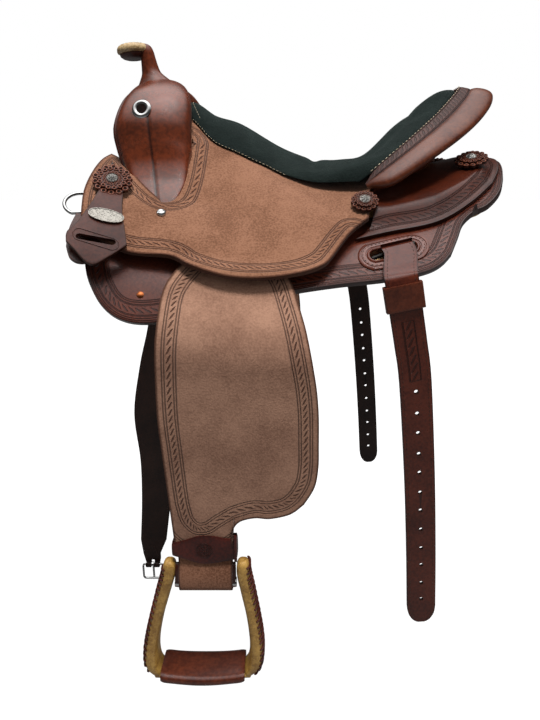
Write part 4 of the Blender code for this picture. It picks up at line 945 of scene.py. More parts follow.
def on_pad(points, sign, pitch):
    """Spots for stitches on top of the pad's suede, above a line of flat places."""
    hits = [suede_skin.ray_cast(Vector((p.x, sign * p.y, 0.4)), Vector((0, 0, -1))) for p in points]
    hits = [(place + out * 0.0003, out) for place, out, _, _ in hits if place]
    return along_line([place for place, _ in hits], [out for _, out in hits], pitch)


for sign, label in ((-1, "near"), (1, "off")):
    low = []
    for p in edge_line:
        start = Vector((p.x, sign * 0.4, seat_height(p.x, p.y) + 0.0042))
        place, out, _, _ = suede_skin.ray_cast(start, Vector((0, -sign, 0)))
        if place:
            low.append((place + out * 0.0003, out))
    stitches(f"seat_edge_stitches_{label}",
             along_line([p for p, _ in low], [out for _, out in low], 0.0052)
             + on_pad(front_line, sign, 0.0052), 0.0034, 0.0008,
             pale_thread, "saddle", "suede")
line = [inner + across * 0.055 + up * 0.0036 for inner, across, up in rim_frames(40)[2:-2]]
ups = [up for _, _, up in rim_frames(40)[2:-2]]
stitches("binding_stitches", along_line(line, ups, 0.0062), 0.0040, 0.0010, pale_thread, "saddle",
         "tooled_leather")


# Fork cover: smooth leather shrunk wet over the wood swells, sewn up each side. A welt of
# darker leather edges the gullet, and a chrome eyelet is set in each side.
FORK = (
    ((0.1754, -0.0192), (0.1700, -0.0240), -0.158, -0.133, 5.0),
    ((0.1668, -0.0085), (0.1540, -0.0080), -0.166, -0.126, 5.0),
    ((0.1560, 0.0030), (0.1390, 0.0020), -0.175, -0.1205, 5.0),
    ((0.1450, 0.0160), (0.1240, 0.0100), -0.187, -0.1175, 5.0),
    ((0.1350, 0.0360), (0.1060, 0.0200), -0.198, -0.1160, 4.0),
    ((0.1305, 0.0600), (0.0940, 0.0360), -0.206, -0.1135, 2.4),
    ((0.1240, 0.0870), (0.0860, 0.0560), -0.211, -0.1145, 2.4),
    ((0.1085, 0.1105), (0.0760, 0.0750), -0.208, -0.115, 2.4),
    ((0.0820, 0.1300), (0.0600, 0.0930), -0.203, -0.118, 2.4),
    ((0.0450, 0.1440), (0.0360, 0.1060), -0.197, -0.126, 2.4),
    ((0.0000, 0.1500), (0.0000, 0.1120), -0.193, -0.139, 2.4),
)
FORK_FINE = 8


def fork_stations():
    """Stations from near foot to off foot: outer, inner, and (front, rear, squareness)."""
    whole = [(-1, item) for item in FORK] + [(1, item) for item in FORK[-2::-1]]
    outer = curve_through([(0, side * i[0][0], i[0][1]) for side, i in whole], FORK_FINE)
    inner = curve_through([(0, side * i[1][0], i[1][1]) for side, i in whole], FORK_FINE)
    reach = curve_through([i[2:] for _, i in whole], FORK_FINE)
    return list(zip(outer, inner, reach))


def fork_point(station, angle, lift=0.0):
    """The point of the cover at one station; 0 is its rear and 90 degrees its outer side."""
    outer, inner, reach = station
    across = (outer - inner) / 2
    centre = (outer + inner) / 2 + Vector(((reach.x + reach.y) / 2, 0, 0))
    c, s = math.cos(angle), math.sin(angle)
    size = (abs(c) ** reach.z + abs(s) ** reach.z) ** (-1 / reach.z)
    wide = (reach.y - reach.x) / 2 + lift
    return (centre + Vector((wide * size * c, 0, 0))
            + (across + across.normalized() * lift) * size * s)


stations = fork_stations()
rings = [[fork_point(station, math.tau * (i + 0.5) / 160) for i in range(160)] for station in stations]
cover = lofted("fork_cover_leather", rings)


def on_fork(place, angle, lift=0.0):
    """The point at `place` along the stations (0 near foot, 1 off foot) and at an angle."""
    spot = place * (len(stations) - 1)
    index = min(int(spot), len(stations) - 2)
    a = fork_point(stations[index], math.radians(angle), lift)
    b = fork_point(stations[index + 1], math.radians(angle), lift)
    return a.lerp(b, spot - index)


def across_fork(place, x, lift=0.0):
    """The point on the fork's outer side at `place` and at a distance x along the back."""
    _, _, reach = stations[round(place * (len(stations) - 1))]
    share = (x - (reach.x + reach.y) / 2) / ((reach.y - reach.x) / 2)
    rise = max(1 - abs(share) ** reach.z, 0.0) ** (1 / reach.z)
    return on_fork(place, math.degrees(math.atan2(rise, share)), lift)


seam = [across_fork(0.02 + 0.30 * t / 40, -0.150 - 0.017 * t / 40) for t in range(41)]
seam = np.array([tuple(p) for p in seam + [p * Vector((1, -1, 1)) for p in seam[::-1]]])
body_points = np.array([tuple(vert.co) for vert in cover.data.vertices])
gap, run = measured(body_points, seam)
for vert, near in zip(cover.data.vertices, gap):
    if near < 0.0040 and abs(vert.co.y) > 0.02:
        vert.co += vert.normal * -0.0014 * (1 - near / 0.0040)
for label, values in (("gap", gap), ("run", run)):
    noted(cover, label, values)
fork_brown = hide("shrunk_saddle_leather", "5e2813", "3d190b", 0.26, 0.0045, 0.00006, coat=0.5,
                  ink="1c0a06", burnished=0, seam=0.0022)
fit(cover, fork_brown, "saddle", "smooth_leather", "fork_cover")


def tube(name, points, radius, sides_round=10, closed=False, ends=None):
    """A round bar bent through points; `ends` gives the share of its radius at each end."""
    bpy.ops.object.select_all(action="DESELECT")
    rings = []
    count = len(points)
    up = Vector((0, 0, 1))
    for index, point in enumerate(points):
        before = points[index - 1] if index or closed else point
        after = points[(index + 1) % count] if index < count - 1 or closed else point
        way = (after - before).normalized()
        side = way.cross(up)
        side = side.normalized() if side.length > 0.05 else way.cross(Vector((0, 1, 0))).normalized()
        if rings and side.dot(last_side) < 0:
            side = -side
        last_side = side
        size = radius * (ends if ends and index in (0, count - 1) else 1.0)
        rings.append(oval(point, side * size, way.cross(side) * size, sides_round))
    if closed:
        rings.append(rings[0])
    return lofted(name, rings, caps=not closed)


welt = [on_fork(0.04 + 0.92 * t / 90, 192 - 22 * math.sin(math.pi * t / 90), 0.0006) for t in range(91)]
gullet_welt = tube("gullet_welt", welt, 0.0032, 10)
dark_edge = hide("burnished_welt_leather", "3c1a12", "240e09", 0.35, 0.0030, 0.00012, coat=0.1,
                 burnished=0)
fit(gullet_welt, dark_edge, "saddle", "dark_leather")


def turned(name, profile, where, steps=40):
    """A round piece: (radius, height) points of its outline, turned about its own axis."""
    bpy.ops.mesh.primitive_circle_add(vertices=3, radius=1)
    piece = bpy.context.object
    piece.name = name
    bpy.ops.object.mode_set(mode="EDIT")
    bpy.ops.mesh.delete(type="VERT")
    bpy.ops.object.mode_set(mode="OBJECT")
    piece.data.from_pydata([(r, 0, z) for r, z in profile],
                           [(i, i + 1) for i in range(len(profile) - 1)], [])
    enter_mesh()
    bpy.ops.mesh.spin(steps=steps, angle=math.tau, center=(0, 0, 0), axis=(0, 0, 1))
    bpy.ops.mesh.select_all(action="SELECT")
    bpy.ops.mesh.remove_doubles(threshold=0.00001)
    leave_mesh()
    piece.data.transform(where)
    bpy.ops.object.shade_smooth_by_angle(angle=math.radians(45))
    return piece


def facing(face, x, s, lift, spin=0.0):
    """A frame on a face at (x, s): X to the rear, Y up the side, Z straight out of the face."""
    step = 0.004
    along = (face(x + step, s) - face(x - step, s)).normalized()
    out = along.cross(face(x, s - step) - face(x, s + step)).normalized()
    turn = Matrix((along, out.cross(along), out)).transposed().to_4x4()
    return Matrix.Translation(face(x, s) + out * lift) @ turn @ Matrix.Rotation(spin, 4, "Z")


spot = across_fork(0.322, -0.1735, 0.0006)
out = Vector((-0.05, -0.93, 0.37)).normalized()
along = Vector((1, 0, 0)) - out * out.x
where = Matrix((along.normalized(), out.cross(along).normalized(), out)).transposed().to_4x4()
where = Matrix.Translation(spot) @ where
eyelet = turned("fork_eyelet_near", ((0.0062, -0.0040), (0.0064, 0.0014), (0.0084, 0.0025),
                                     (0.0104, 0.0022), (0.0121, 0.0006), (0.0121, -0.0040),
                                     (0.0062, -0.0040)), where)
# Each eyelet's hole ends in a near-black disc 3 mm down: painted shade, for the shadow inside the hole.
hole = turned("fork_eyelet_hole_near", ((0, 0.0012), (0.0062, 0.0013), (0.0064, -0.0030),
                                        (0, -0.0030)), where)
hole_shade = hide("raw_hole_leather", "1a0d09", "0a0504", 0.9, 0.002, 0.0001, burnished=0)
fit_both(eyelet, chrome, "saddle", "steel")
fit_both(hole, hole_shade, "saddle", "dark_leather")


# Horn: a smooth leather neck, and a cap like a flattened bun, leather below and bound round
# with strips of rawhide that dry tight and leave fine ridges across the rim.
NECK = (((-0.1750, 0.1400), 0.0280, 0.0280, 0.0), ((-0.1765, 0.1490), 0.0225, 0.0220, 0.0),
        ((-0.1782, 0.1555), 0.0180, 0.0175, -0.1), ((-0.1825, 0.1630), 0.0134, 0.0148, -0.15),
        ((-0.1845, 0.1715), 0.0115, 0.0136, -0.15), ((-0.1862, 0.1800), 0.0105, 0.0132, -0.1),
        ((-0.1890, 0.1880), 0.0108, 0.0128, 0.0), ((-0.1925, 0.1935), 0.0105, 0.0110, 0.1),
        ((-0.1950, 0.1960), 0.0070, 0.0070, 0.2))
middle_line = curve_through([(x, 0, z) for (x, z), _, _, _ in NECK], 8)
sizes = curve_through([(a, b, tilt) for _, a, b, tilt in NECK], 8)
rings = [oval(spot, (size.x, 0, size.x * size.z), (0, size.y, 0), 32)
         for spot, size in zip(middle_line, sizes)]
neck = lofted("horn_neck_leather", rings)
neck_brown = hide("stretched_horn_leather", "5e2813", "3d190b", 0.26, 0.0045, 0.00006, coat=0.35,
                  burnished=0)
fit(neck, neck_brown, "saddle", "smooth_leather", "horn_neck")
horn_place = Matrix.Translation((-0.2060, 0, 0.1898)) @ Matrix.Rotation(math.radians(-5), 4, "Y")
outline = curve_through([(0, 0.0072, 0), (0.0070, 0.0071, 0), (0.0135, 0.0066, 0), (0.0190, 0.0050, 0),
                         (0.0222, 0.0018, 0), (0.0230, -0.0010, 0), (0.0222, -0.0038, 0),
                         (0.0195, -0.0056, 0)], 4)
horn_cap = turned("horn_cap_rawhide", [(p.x, p.y) for p in outline] + [(0.0150, -0.0055), (0, -0.0052)],
                  horn_place, 72)
lip = turned("horn_lip_leather", ((0, -0.0050), (0.0186, -0.0052), (0.0197, -0.0066),
                                  (0.0192, -0.0082), (0.0160, -0.0108), (0.0120, -0.0122),
                                  (0, -0.0122)), horn_place, 48)
for vert in horn_cap.data.vertices:
    local = horn_place.inverted() @ vert.co
    radius = math.hypot(local.x, local.y)
    if radius > 0.012:
        ridge = math.sin(18 * math.atan2(local.y, local.x) + 120 * (radius - 0.02))
        vert.co += vert.normal * 0.00028 * ridge * ease((radius - 0.012) / 0.006)


def dried_rawhide(name, pale, amber, strip):
    """Rawhide, wound wet and dried: waxy amber, streaked, with low ridges where it overlaps."""
    made, tree, shader, place = fresh(name)
    cloud = add_node(tree, "ShaderNodeTexNoise", {"Vector": place, "Scale": 1 / 0.018,
                                                  "Detail": 5.0})
    fibre = add_node(tree, "ShaderNodeTexNoise", {"Vector": place, "Scale": 1 / strip,
                                                  "Detail": 2.0, "Distortion": 1.2})
    both = add_node(tree, "ShaderNodeMath", {0: cloud.outputs["Fac"], 1: fibre.outputs["Fac"]},
                    operation="ADD")
    share = add_node(tree, "ShaderNodeMapRange", {0: both.outputs[0], 1: 0.8, 2: 1.22})
    tone = add_node(tree, "ShaderNodeMix", {0: share.outputs[0], 6: paint(pale),
                                            7: paint(amber)}, data_type="RGBA")
    tree.links.new(tone.outputs[2], shader.inputs["Base Color"])
    rise = add_node(tree, "ShaderNodeBump", {"Height": fibre.outputs["Fac"], "Strength": 0.5,
                                             "Distance": 0.0006})
    tree.links.new(rise.outputs[0], shader.inputs["Normal"])
    shader.inputs["Roughness"].default_value = 0.42
    shader.inputs["Coat Weight"].default_value = 0.15
    return made


fit(horn_cap, dried_rawhide("horn_rawhide_binding", "b29a72", "7c6240", 0.003), "saddle",
    "horn_rawhide", "horn_cap")
fit(lip, dark_edge, "saddle", "dark_leather")


# Rosettes: three a side, two scalloped leather discs each, with a ring of holes round the edge drawn as
# dark discs of painted shade, held by a domed concho. The rear one lies on the rear jockey, the others on
# the seat leather.
ROSETTES = {"front": (-0.203, 0.171, 0.0235, 0.30), "middle": (0.104, 0.166, 0.0170, 0.20),
            "rear": (0.253, 0.094, 0.0215, 0.16)}
PETALS = 14


def scalloped_disc(name, radius, low, thick, where, turn=0.0):
    """A leather disc whose edge is a ring of round petals."""
    bpy.ops.mesh.primitive_circle_add(vertices=PETALS * 10, radius=radius, fill_type="NGON",
                                      location=(0, 0, low))
    piece = bpy.context.object
    piece.name = name
    bpy.ops.object.transform_apply()
    enter_mesh()
    bpy.ops.mesh.extrude_region_move(TRANSFORM_OT_translate={"value": (0, 0, thick)})
    bpy.ops.mesh.inset(thickness=radius * 0.10)
    bpy.ops.mesh.inset(thickness=radius * 0.16, depth=-thick * 0.25)
    leave_mesh()
    for vert in piece.data.vertices:
        reach = math.hypot(vert.co.x, vert.co.y)
        angle = math.atan2(vert.co.y, vert.co.x)
        wave = abs(math.cos(PETALS * angle / 2))
        if reach > radius * 0.86:
            vert.co.xy *= 0.87 + 0.13 * wave**0.7
    piece.data.transform(where @ Matrix.Rotation(turn, 4, "Z"))
    bpy.ops.object.shade_smooth_by_angle(angle=math.radians(40))
    return piece


def joined(name, pieces):
    """Several meshes made one piece."""
    bpy.ops.object.select_all(action="DESELECT")
    for piece in pieces:
        piece.select_set(True)
    bpy.context.view_layer.objects.active = pieces[0]
    bpy.ops.object.join()
    pieces[0].name = name
    return pieces[0]


def petal_rings(radius, height, where, turn=0.0):
    """The raised loop round each petal's hole."""
    rings = []
    for index in range(PETALS):
        angle = math.tau * index / PETALS + turn
        bpy.ops.mesh.primitive_torus_add(major_radius=radius * 0.120, minor_radius=radius * 0.038,
                                         major_segments=12, minor_segments=6,
                                         location=(radius * 0.85 * math.cos(angle),
                                                   radius * 0.85 * math.sin(angle), height))
        ring = bpy.context.object
        bpy.ops.object.transform_apply()
        ring.data.transform(where)
        bpy.ops.object.shade_smooth()
        rings.append(ring)
    return rings


def petal_holes(radius, height, where, turn=0.0):
    """A dark disc at the bottom of each petal's hole: painted shade, for the shadow in the hole."""
    holes = []
    for index in range(PETALS):
        angle = math.tau * index / PETALS + turn
        bpy.ops.mesh.primitive_cylinder_add(vertices=10, radius=radius * 0.095, depth=0.0008,
                                            location=(radius * 0.85 * math.cos(angle),
                                                      radius * 0.85 * math.sin(angle), height))
        bpy.ops.object.transform_apply()
        bpy.context.object.data.transform(where)
        holes.append(bpy.context.object)
    return holes


def concho(name, radius, rise, where):
    """A cast dome with a rope edge and a swirl of six flutes."""
    outline = [(0, rise)] + [(radius * 0.76 * t / 12, rise * (1 - 0.75 * (t / 12) ** 2))
                             for t in range(1, 13)]
    outline += [(radius * 0.83, rise * 0.10), (radius * 0.92, rise * 0.36), (radius, rise * 0.12),
                (radius, -0.0004), (0, -0.0004)]
    piece = turned(name, outline, Matrix(), 72)
    for vert in piece.data.vertices:
        reach = math.hypot(vert.co.x, vert.co.y) / radius
        angle = math.atan2(vert.co.y, vert.co.x)
        if 0.12 < reach < 0.76 and vert.co.z > 0:
            vert.co.z += rise * 0.13 * math.sin(6 * angle + 7 * reach)
        elif reach > 0.86 and vert.co.z > 0:
            vert.co.z += rise * 0.08 * math.sin(24 * angle)
    piece.data.transform(where)
    return piece


rosette_brown = hide("carved_rosette_leather", "3a1b13", "26100b", 0.40, 0.0022, 0.0001, burnished=0)
braid = hide("cut_petal_leather", "6b3d2c", "48261b", 0.32, 0.0022, 0.0001, coat=0.1, burnished=0)
silver = metal("engraved_german_silver", "c9c7c2", 0.44, 0.0040, 0.00003)
for place, (x, s, radius, lean) in ROSETTES.items():
    face = on_rear if place == "rear" else on_seat
    where = facing(face, x, s, 0.0022 + radius * math.sin(lean)) @ Matrix.Rotation(lean, 4, "X")
    small = radius * 0.76
    stem = turned("spacer", ((0, 0.0010), (radius * 0.55, 0.0010), (radius * 0.55, -radius * lean - 0.0030),
                             (0, -radius * lean - 0.0030)), where, 32)
    leather = joined(f"rosette_leather_{place}_near",
                     [scalloped_disc("lower", radius, 0.0, 0.0030, where),
                      scalloped_disc("upper", small, 0.0031, 0.0028, where, math.pi / PETALS), stem])
    loops = joined(f"rosette_loops_{place}_near",
                   petal_rings(radius, 0.0032, where)
                   + petal_rings(small, 0.0060, where, math.pi / PETALS)
                   + petal_rings(small * 0.62, 0.0060, where))
    holes = joined(f"rosette_holes_{place}_near",
                   petal_holes(radius, 0.0029, where)
                   + petal_holes(small, 0.0057, where, math.pi / PETALS))
    dome = concho(f"concho_dome_{place}_near", 0.0066 if place == "front" else 0.0070, 0.0036,
                  where @ Matrix.Translation((0, 0, 0.0056)))
    for side in ("near", "off"):
        pieces = (leather, holes, dome, loops)
        if side == "off":
            pieces = [other_side(piece, piece.name.replace("near", "off")) for piece in pieces]
        solids = [f"concho_{place}_{side}"] if place == "front" else []
        fit(pieces[0], rosette_brown, "saddle", "tooled_leather", f"rosette_{place}_{side}")
        # The holes' dark discs are painted shade.
        fit(pieces[1], hole_shade, "saddle", "dark_leather")
        fit(pieces[2], silver, "saddle", "silver", *solids)
        fit(pieces[3], braid, "saddle", "tooled_leather")


# Screws and rivets: a chrome screw with a slotted dome pins each jockey under the fork, and a
# copper rivet holds the skirt to the rigging.
def screw_head(name, radius, rise, where):
    """A domed head with a straight slot across it."""
    outline = ((0, rise), (radius * 0.45, rise * 0.92), (radius * 0.80, rise * 0.62),
               (radius, rise * 0.15), (radius, -0.0008), (0, -0.0008))
    piece = turned(name, outline, Matrix(), 36)
    for vert in piece.data.vertices:
        if abs(vert.co.y) < radius * 0.16 and vert.co.z > rise * 0.3:
            vert.co.z -= rise * 0.45
    piece.data.transform(where @ Matrix.Rotation(0.6, 4, "Z"))
    return piece


screw = screw_head("jockey_screw_near", 0.0056, 0.0030, facing(on_seat, -0.1407, 0.199, 0.0014))
fit_both(screw, chrome, "saddle", "steel")
copper = metal("burnished_copper", "b3683e", 0.26)
rivet = turned("skirt_rivet_near", ((0, 0.0014), (0.0022, 0.0012), (0.0040, 0.0003),
                                    (0.0042, -0.0006), (0, -0.0006)),
               facing(drape, -0.1560, 0.3060, 0.0004), 24)
fit_both(rivet, copper, "saddle", "steel")


# Breast-collar ring: a welded D of 4 mm chrome wire on each side of the fork, held to the
# skirt's front by a folded leather chape.
RING_PLACE = (-0.226, 0.203)
where = facing(drape, *RING_PLACE, 0.005)
points = [(0, 0.015 - 0.026 * t / 10) for t in range(1, 10)]
for step in range(25):
    angle = math.radians(-78 + 156 * step / 24)
    points.append((-0.0125 - 0.0190 * math.cos(angle), 0.003 + 0.0205 * math.sin(angle)))
ring = tube("breast_ring_wire_near", [where @ Vector((x, y, 0)) for x, y in points], 0.0021, 12, True)
fit_both(ring, chrome, "breast_ring_near", "steel", "breast_ring_near")


def strap(name, stations, thick):
    """A flat strap through stations of (centre, across, normal, half width), edges rounded.

    Its "pattern" UV map is metres along and metres across."""
    rows, spans = len(stations) - 1, 8
    reach = [0.0]
    for a, b in zip(stations, stations[1:]):
        reach.append(reach[-1] + (Vector(b[0]) - Vector(a[0])).length)

    def spot(i, j):
        centre, across, normal, half = stations[j]
        u = 2 * i / spans - 1
        place = Vector(centre) + Vector(across) * half * u + Vector(normal) * thick / 2
        return place, (reach[j], u * half)

    piece = sheet(name, spans, rows, spot)
    middle = rows // 2
    if piece.data.polygons[middle * spans].normal.dot(Vector(stations[middle][2])) < 0:
        piece.data.flip_normals()
    apply_all(walled(piece, thick, 0.28))
    return piece


def refined(stations, per_span=6):
    """Strap stations drawn out along a smooth curve, with true cross directions."""
    centres = curve_through([tuple(s[0]) for s in stations], per_span)
    across = curve_through([tuple(s[1]) for s in stations], per_span)
    normals = curve_through([tuple(s[2]) for s in stations], per_span)
    halves = curve_through([(s[3], 0, 0) for s in stations], per_span)
    found = []
    for index, centre in enumerate(centres):
        before, after = centres[max(index - 1, 0)], centres[min(index + 1, len(centres) - 1)]
        way = (after - before).normalized()
        side = (across[index] - way * across[index].dot(way)).normalized()
        out = side.cross(way).normalized()
        if out.dot(normals[index]) < 0:
            out = -out
        found.append((centre, side, out, halves[index].x))
    return found


def mark_strap(piece):
    """Keeps each vertex's distance from the strap's long edges, its place along and across."""
    flat = flat_places(piece)
    half = np.zeros(len(flat))
    order = np.round(flat[:, 0], 4)
    for value in np.unique(order):
        here = order == value
        half[here] = np.abs(flat[here, 1]).max()
    for label, values in (("edge", half - np.abs(flat[:, 1])), ("gap", np.abs(flat[:, 1])),
                          ("run", flat[:, 0])):
        noted(piece, label, values)


# Latigo keeper: near side only, a shield of 4 mm leather that hangs on its top edge, with a slot
# for the latigo's end and an oval silver plate. The plate is engraved with plain scrolls only.
KEEPER_TOP = ((-0.213, 0.1815), (-0.187, 0.1815))
KEEPER_LOW = ((-0.234, 0.274), (-0.226, 0.280), (-0.205, 0.294), (-0.186, 0.279), (-0.170, 0.261))
KEEPER_FRONT = ((-0.213, 0.1815), (-0.218, 0.215), (-0.227, 0.246), (-0.235, 0.262),
                (-0.234, 0.274))
KEEPER_REAR = ((-0.187, 0.1815), (-0.182, 0.215), (-0.173, 0.249), (-0.170, 0.261))


def on_keeper(x, s, lift=0.0):
    return drape(x, s, 0.0246 + lift)


grid = pattern(((-0.2350, 0.224), (-0.1950, 0.222)), ((-0.2375, 0.274), (-0.2310, 0.287), (-0.2180, 0.289),
                                                      (-0.1950, 0.276)),
               ((-0.2350, 0.224), (-0.2385, 0.250), (-0.2375, 0.274)),
               ((-0.1950, 0.222), (-0.1950, 0.276)), 30, 40)
backing = flap("keeper_backing_leather", grid, lambda p: drape(p.x, p.y, 0.0130), 0.004)
apply_all(backing)
fit(backing, dark_edge, "saddle", "dark_leather")
grid = pattern(KEEPER_TOP, KEEPER_LOW, KEEPER_FRONT, KEEPER_REAR, 34, 44)
keeper = flap("latigo_keeper_leather", grid, lambda p: on_keeper(p.x, p.y), 0.004)
apply_all(keeper)
lean = math.radians(4)
reach = 0.0175
slot_middle = Vector((-0.2035, 0.263))
slot_way = Vector((math.cos(lean), -math.sin(lean)))
punched(keeper, slot_middle - slot_way * reach, slot_middle + slot_way * reach, 0.0040,
        lambda x, s, lift=0.0: drape(x, s, 0.0226 + lift))
mark(keeper, fine(KEEPER_TOP, KEEPER_REAR, KEEPER_LOW[::-1], KEEPER_FRONT[::-1]))
worn_strap = hide("worn_keeper_leather", "401f17", "29120d", 0.42, 0.0035, 0.00008, coat=0.0,
                  ink="2a140d")
keeper.data.materials.clear()
keeper.data.materials.append(worn_strap)
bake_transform(keeper)
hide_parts("latigo_keeper")
groove = []
for step in range(49):
    angle = math.tau * step / 48
    round_end = Vector((math.cos(angle), math.sin(angle))) * 0.0075
    straight = Vector((math.copysign(reach, math.cos(angle)), 0))
    turn = slot_way * (straight.x + round_end.x) + Vector((slot_way.y, -slot_way.x)) * round_end.y
    groove.append(on_keeper(slot_middle.x + turn.x, slot_middle.y - turn.y, 0.0001))
crease = tube("keeper_slot_crease", groove[:-1], 0.00055, 6, True)
fit(crease, dark_edge, "latigo_keeper", "dark_leather")

place = facing(drape, -0.2020, 0.230, 0.0256)
bpy.ops.mesh.primitive_circle_add(vertices=64, radius=1, fill_type="NGON")
plate = bpy.context.object
plate.name = "engraved_oval_plate"
for vert in plate.data.vertices:
    c, s = vert.co.x, vert.co.y
    vert.co = Vector((0.0200 * c, 0.0098 * math.copysign(abs(s) ** 0.8, s), 0))
enter_mesh()
bpy.ops.mesh.extrude_region_move(TRANSFORM_OT_translate={"value": (0, 0, 0.0014)})
bpy.ops.mesh.inset(thickness=0.0009)
bpy.ops.mesh.inset(thickness=0.0005, depth=-0.0004)
leave_mesh()
plate.data.transform(place)
bpy.ops.object.shade_smooth_by_angle(angle=math.radians(30))


def engraved(name, colour):
    """Cut scrolls, darkened in their lines: worn bright ridges between soft swirls 1.5 mm apart."""
    made, tree, shader, place = fresh(name)
    twist = add_node(tree, "ShaderNodeTexNoise", {"Vector": place, "Scale": 1 / 0.004,
                                                  "Detail": 1.0, "Distortion": 2.5})
    share = add_node(tree, "ShaderNodeMath", {0: twist.outputs["Fac"], 1: 5.0}, operation="MULTIPLY")
    share = add_node(tree, "ShaderNodeMath", {0: share.outputs[0], 1: 1.0}, operation="PINGPONG")
    line = add_node(tree, "ShaderNodeMapRange", {0: share.outputs[0], 1: 0.05, 2: 0.22})
    tone = add_node(tree, "ShaderNodeMix", {0: line.outputs[0], 6: paint("3a3632"),
                                            7: paint(colour)}, data_type="RGBA")
    tree.links.new(tone.outputs[2], shader.inputs["Base Color"])
    rise = add_node(tree, "ShaderNodeBump", {"Height": line.outputs[0], "Strength": 0.5,
                                             "Distance": 0.0002})
    tree.links.new(rise.outputs[0], shader.inputs["Normal"])
    shader.inputs["Metallic"].default_value = 1.0
    shader.inputs["Roughness"].default_value = 0.46
    return made


fit(plate, engraved("hand_engraved_silver", "938f88"), "latigo_keeper",
    "silver", "keeper_plate")


# Fenders: one rough-out panel a side, from under the jockey down to the stirrup's neck. It bends
# at the hinge by the jockey's edge. A leaf border runs 12 mm in round its sides and foot.
def hang(x, s, lift=0.0):
    """Like drape, but past the skirt's edge the sheet bends down and hangs straight."""
    if s <= 0.335:
        return drape(x, s, lift)
    start = 0.335 / BACK_RADIUS
    turn = math.pi / 2 - start
    angle = start + turn * min((s - 0.335) / 0.040, 1.0)
    radius = 0.040 / turn
    point = drape(x, 0.335)
    point.y -= radius * (math.sin(angle) - math.sin(start))
    point.z -= radius * (math.cos(start) - math.cos(angle))
    point.z -= max(0.0, s - 0.375)
    point.z += (0.006 - crest(x)) * ease((s - 0.335) / 0.10)
    return point + Vector((0, -math.sin(angle), math.cos(angle))) * lift


def on_fender(x, s, lift=0.0):
    """The fender's outer face; it stands off a little more below its hinge."""
    return hang(x, s, 0.009 + 0.004 * ease((s - 0.295) / 0.040) + lift)


FENDER_TOP = ((-0.100, 0.245), (-0.050, 0.240), (-0.005, 0.245))
FENDER_LEFT = ((-0.100, 0.245), (-0.118, 0.272), (-0.1295, 0.298), (-0.133, 0.335),
               (-0.136, 0.370), (-0.137, 0.430), (-0.134, 0.477), (-0.131, 0.518),
               (-0.128, 0.560), (-0.1250, 0.600))
FENDER_RIGHT = ((-0.005, 0.245), (0.010, 0.268), (0.0195, 0.298), (0.031, 0.345), (0.039, 0.385),
                (0.043, 0.423), (0.044, 0.464), (0.044, 0.492), (0.040, 0.517), (0.028, 0.539))
FENDER_LOW = ((-0.1250, 0.600), (-0.090, 0.600), (-0.0590, 0.599), (-0.0575, 0.579),
              (-0.0490, 0.563), (-0.030, 0.557), (-0.012, 0.558), (0.012, 0.552), (0.028, 0.539))
BORDER_TURN = ((-0.1290, 0.540), (-0.1225, 0.566), (-0.1060, 0.584), (-0.0830, 0.585),
               (-0.0630, 0.572))
grid = pattern(FENDER_TOP, FENDER_LOW, FENDER_LEFT, FENDER_RIGHT, 56, 110)
fender = flap("fender_leather_near", grid, lambda p: on_fender(p.x, p.y), 0.005, 0.35)
apply_all(fender)
guide = np.vstack((fine(FENDER_LEFT[:8]), fine(BORDER_TURN), fine(FENDER_LOW[4:]),
                   fine(FENDER_RIGHT[::-1])))
mark(fender, fine(FENDER_TOP, FENDER_RIGHT, FENDER_LOW[::-1], FENDER_LEFT[::-1]), guide)
greyed = hide("greyed_rough_out_leather", "97735f", "775747", 0.92, 0.0022, 0.00045, nap=0.10,
              border=(0.0150, 0.0031, 0.0080, (1.6, 2.5)), ink="33190f", burnished=0.0030,
              speckle=0.30)
fender_off = other_side(fender, "fender_leather_off")
for piece, side in ((fender, "near"), (fender_off, "off")):
    piece.data.materials.clear()
    piece.data.materials.append(greyed)
    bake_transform(piece)
    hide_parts(f"fender_top_{side}", f"fender_{side}")


# Stirrup leathers: a strap down behind the fender, round the stirrup's bolt and up again in
# front of the neck, rough side out, with its front end cut straight.
STIRRUP_BOLT = Vector((-0.0905, -0.3005, -0.460))
NECK_X = -0.090
flat_across, flat_out = Vector((1, 0, 0)), Vector((0, -1, 0))
bend = 0.006 + 0.0006 + 0.0016
stations = [(hang(NECK_X, s, 0.0040), flat_across, flat_out, 0.0325)
            for s in (0.356, 0.380, 0.450, 0.520, 0.590, 0.615)]
stations.append((Vector((NECK_X, STIRRUP_BOLT.y + bend * 0.93, STIRRUP_BOLT.z + 0.016)), flat_across,
                 flat_out, 0.0325))
for step in range(17):
    angle = math.radians(180 * step / 16)
    out = Vector((0, math.cos(angle), -math.sin(angle)))
    stations.append((Vector((NECK_X, STIRRUP_BOLT.y, STIRRUP_BOLT.z)) + out * bend, flat_across, -out,
                     0.0325))
neck_y = hang(NECK_X, 0.50, 0.0105).y
for rise in (0.016, 0.030, 0.042):
    y = STIRRUP_BOLT.y - bend * 0.93 if rise < 0.02 else neck_y
    stations.append((Vector((NECK_X, y, STIRRUP_BOLT.z + rise)), flat_across, flat_out, 0.0325))


def turned_to_path(stations):
    """Stations whose normals follow the strap's own path in the YZ plane."""
    found = []
    for index, (centre, across, _, half) in enumerate(stations):
        before = stations[max(index - 1, 0)][0]
        after = stations[min(index + 1, len(stations) - 1)][0]
        found.append((centre, across, Vector(across).cross((after - before).normalized()).normalized(),
                      half))
    return found


leather = strap("stirrup_leather_strap_near", turned_to_path(stations), 0.0032)
mark_strap(leather)
strap_nap = hide("rough_out_strap_leather", "7c5642", "5d3c2b", 0.92, 0.0022, 0.00045, nap=0.10,
                 ink="35201a", burnished=0.0028, speckle=0.55)
fit_both(leather, strap_nap, "fender_near", "fender_leather", "stirrup_leather_near")


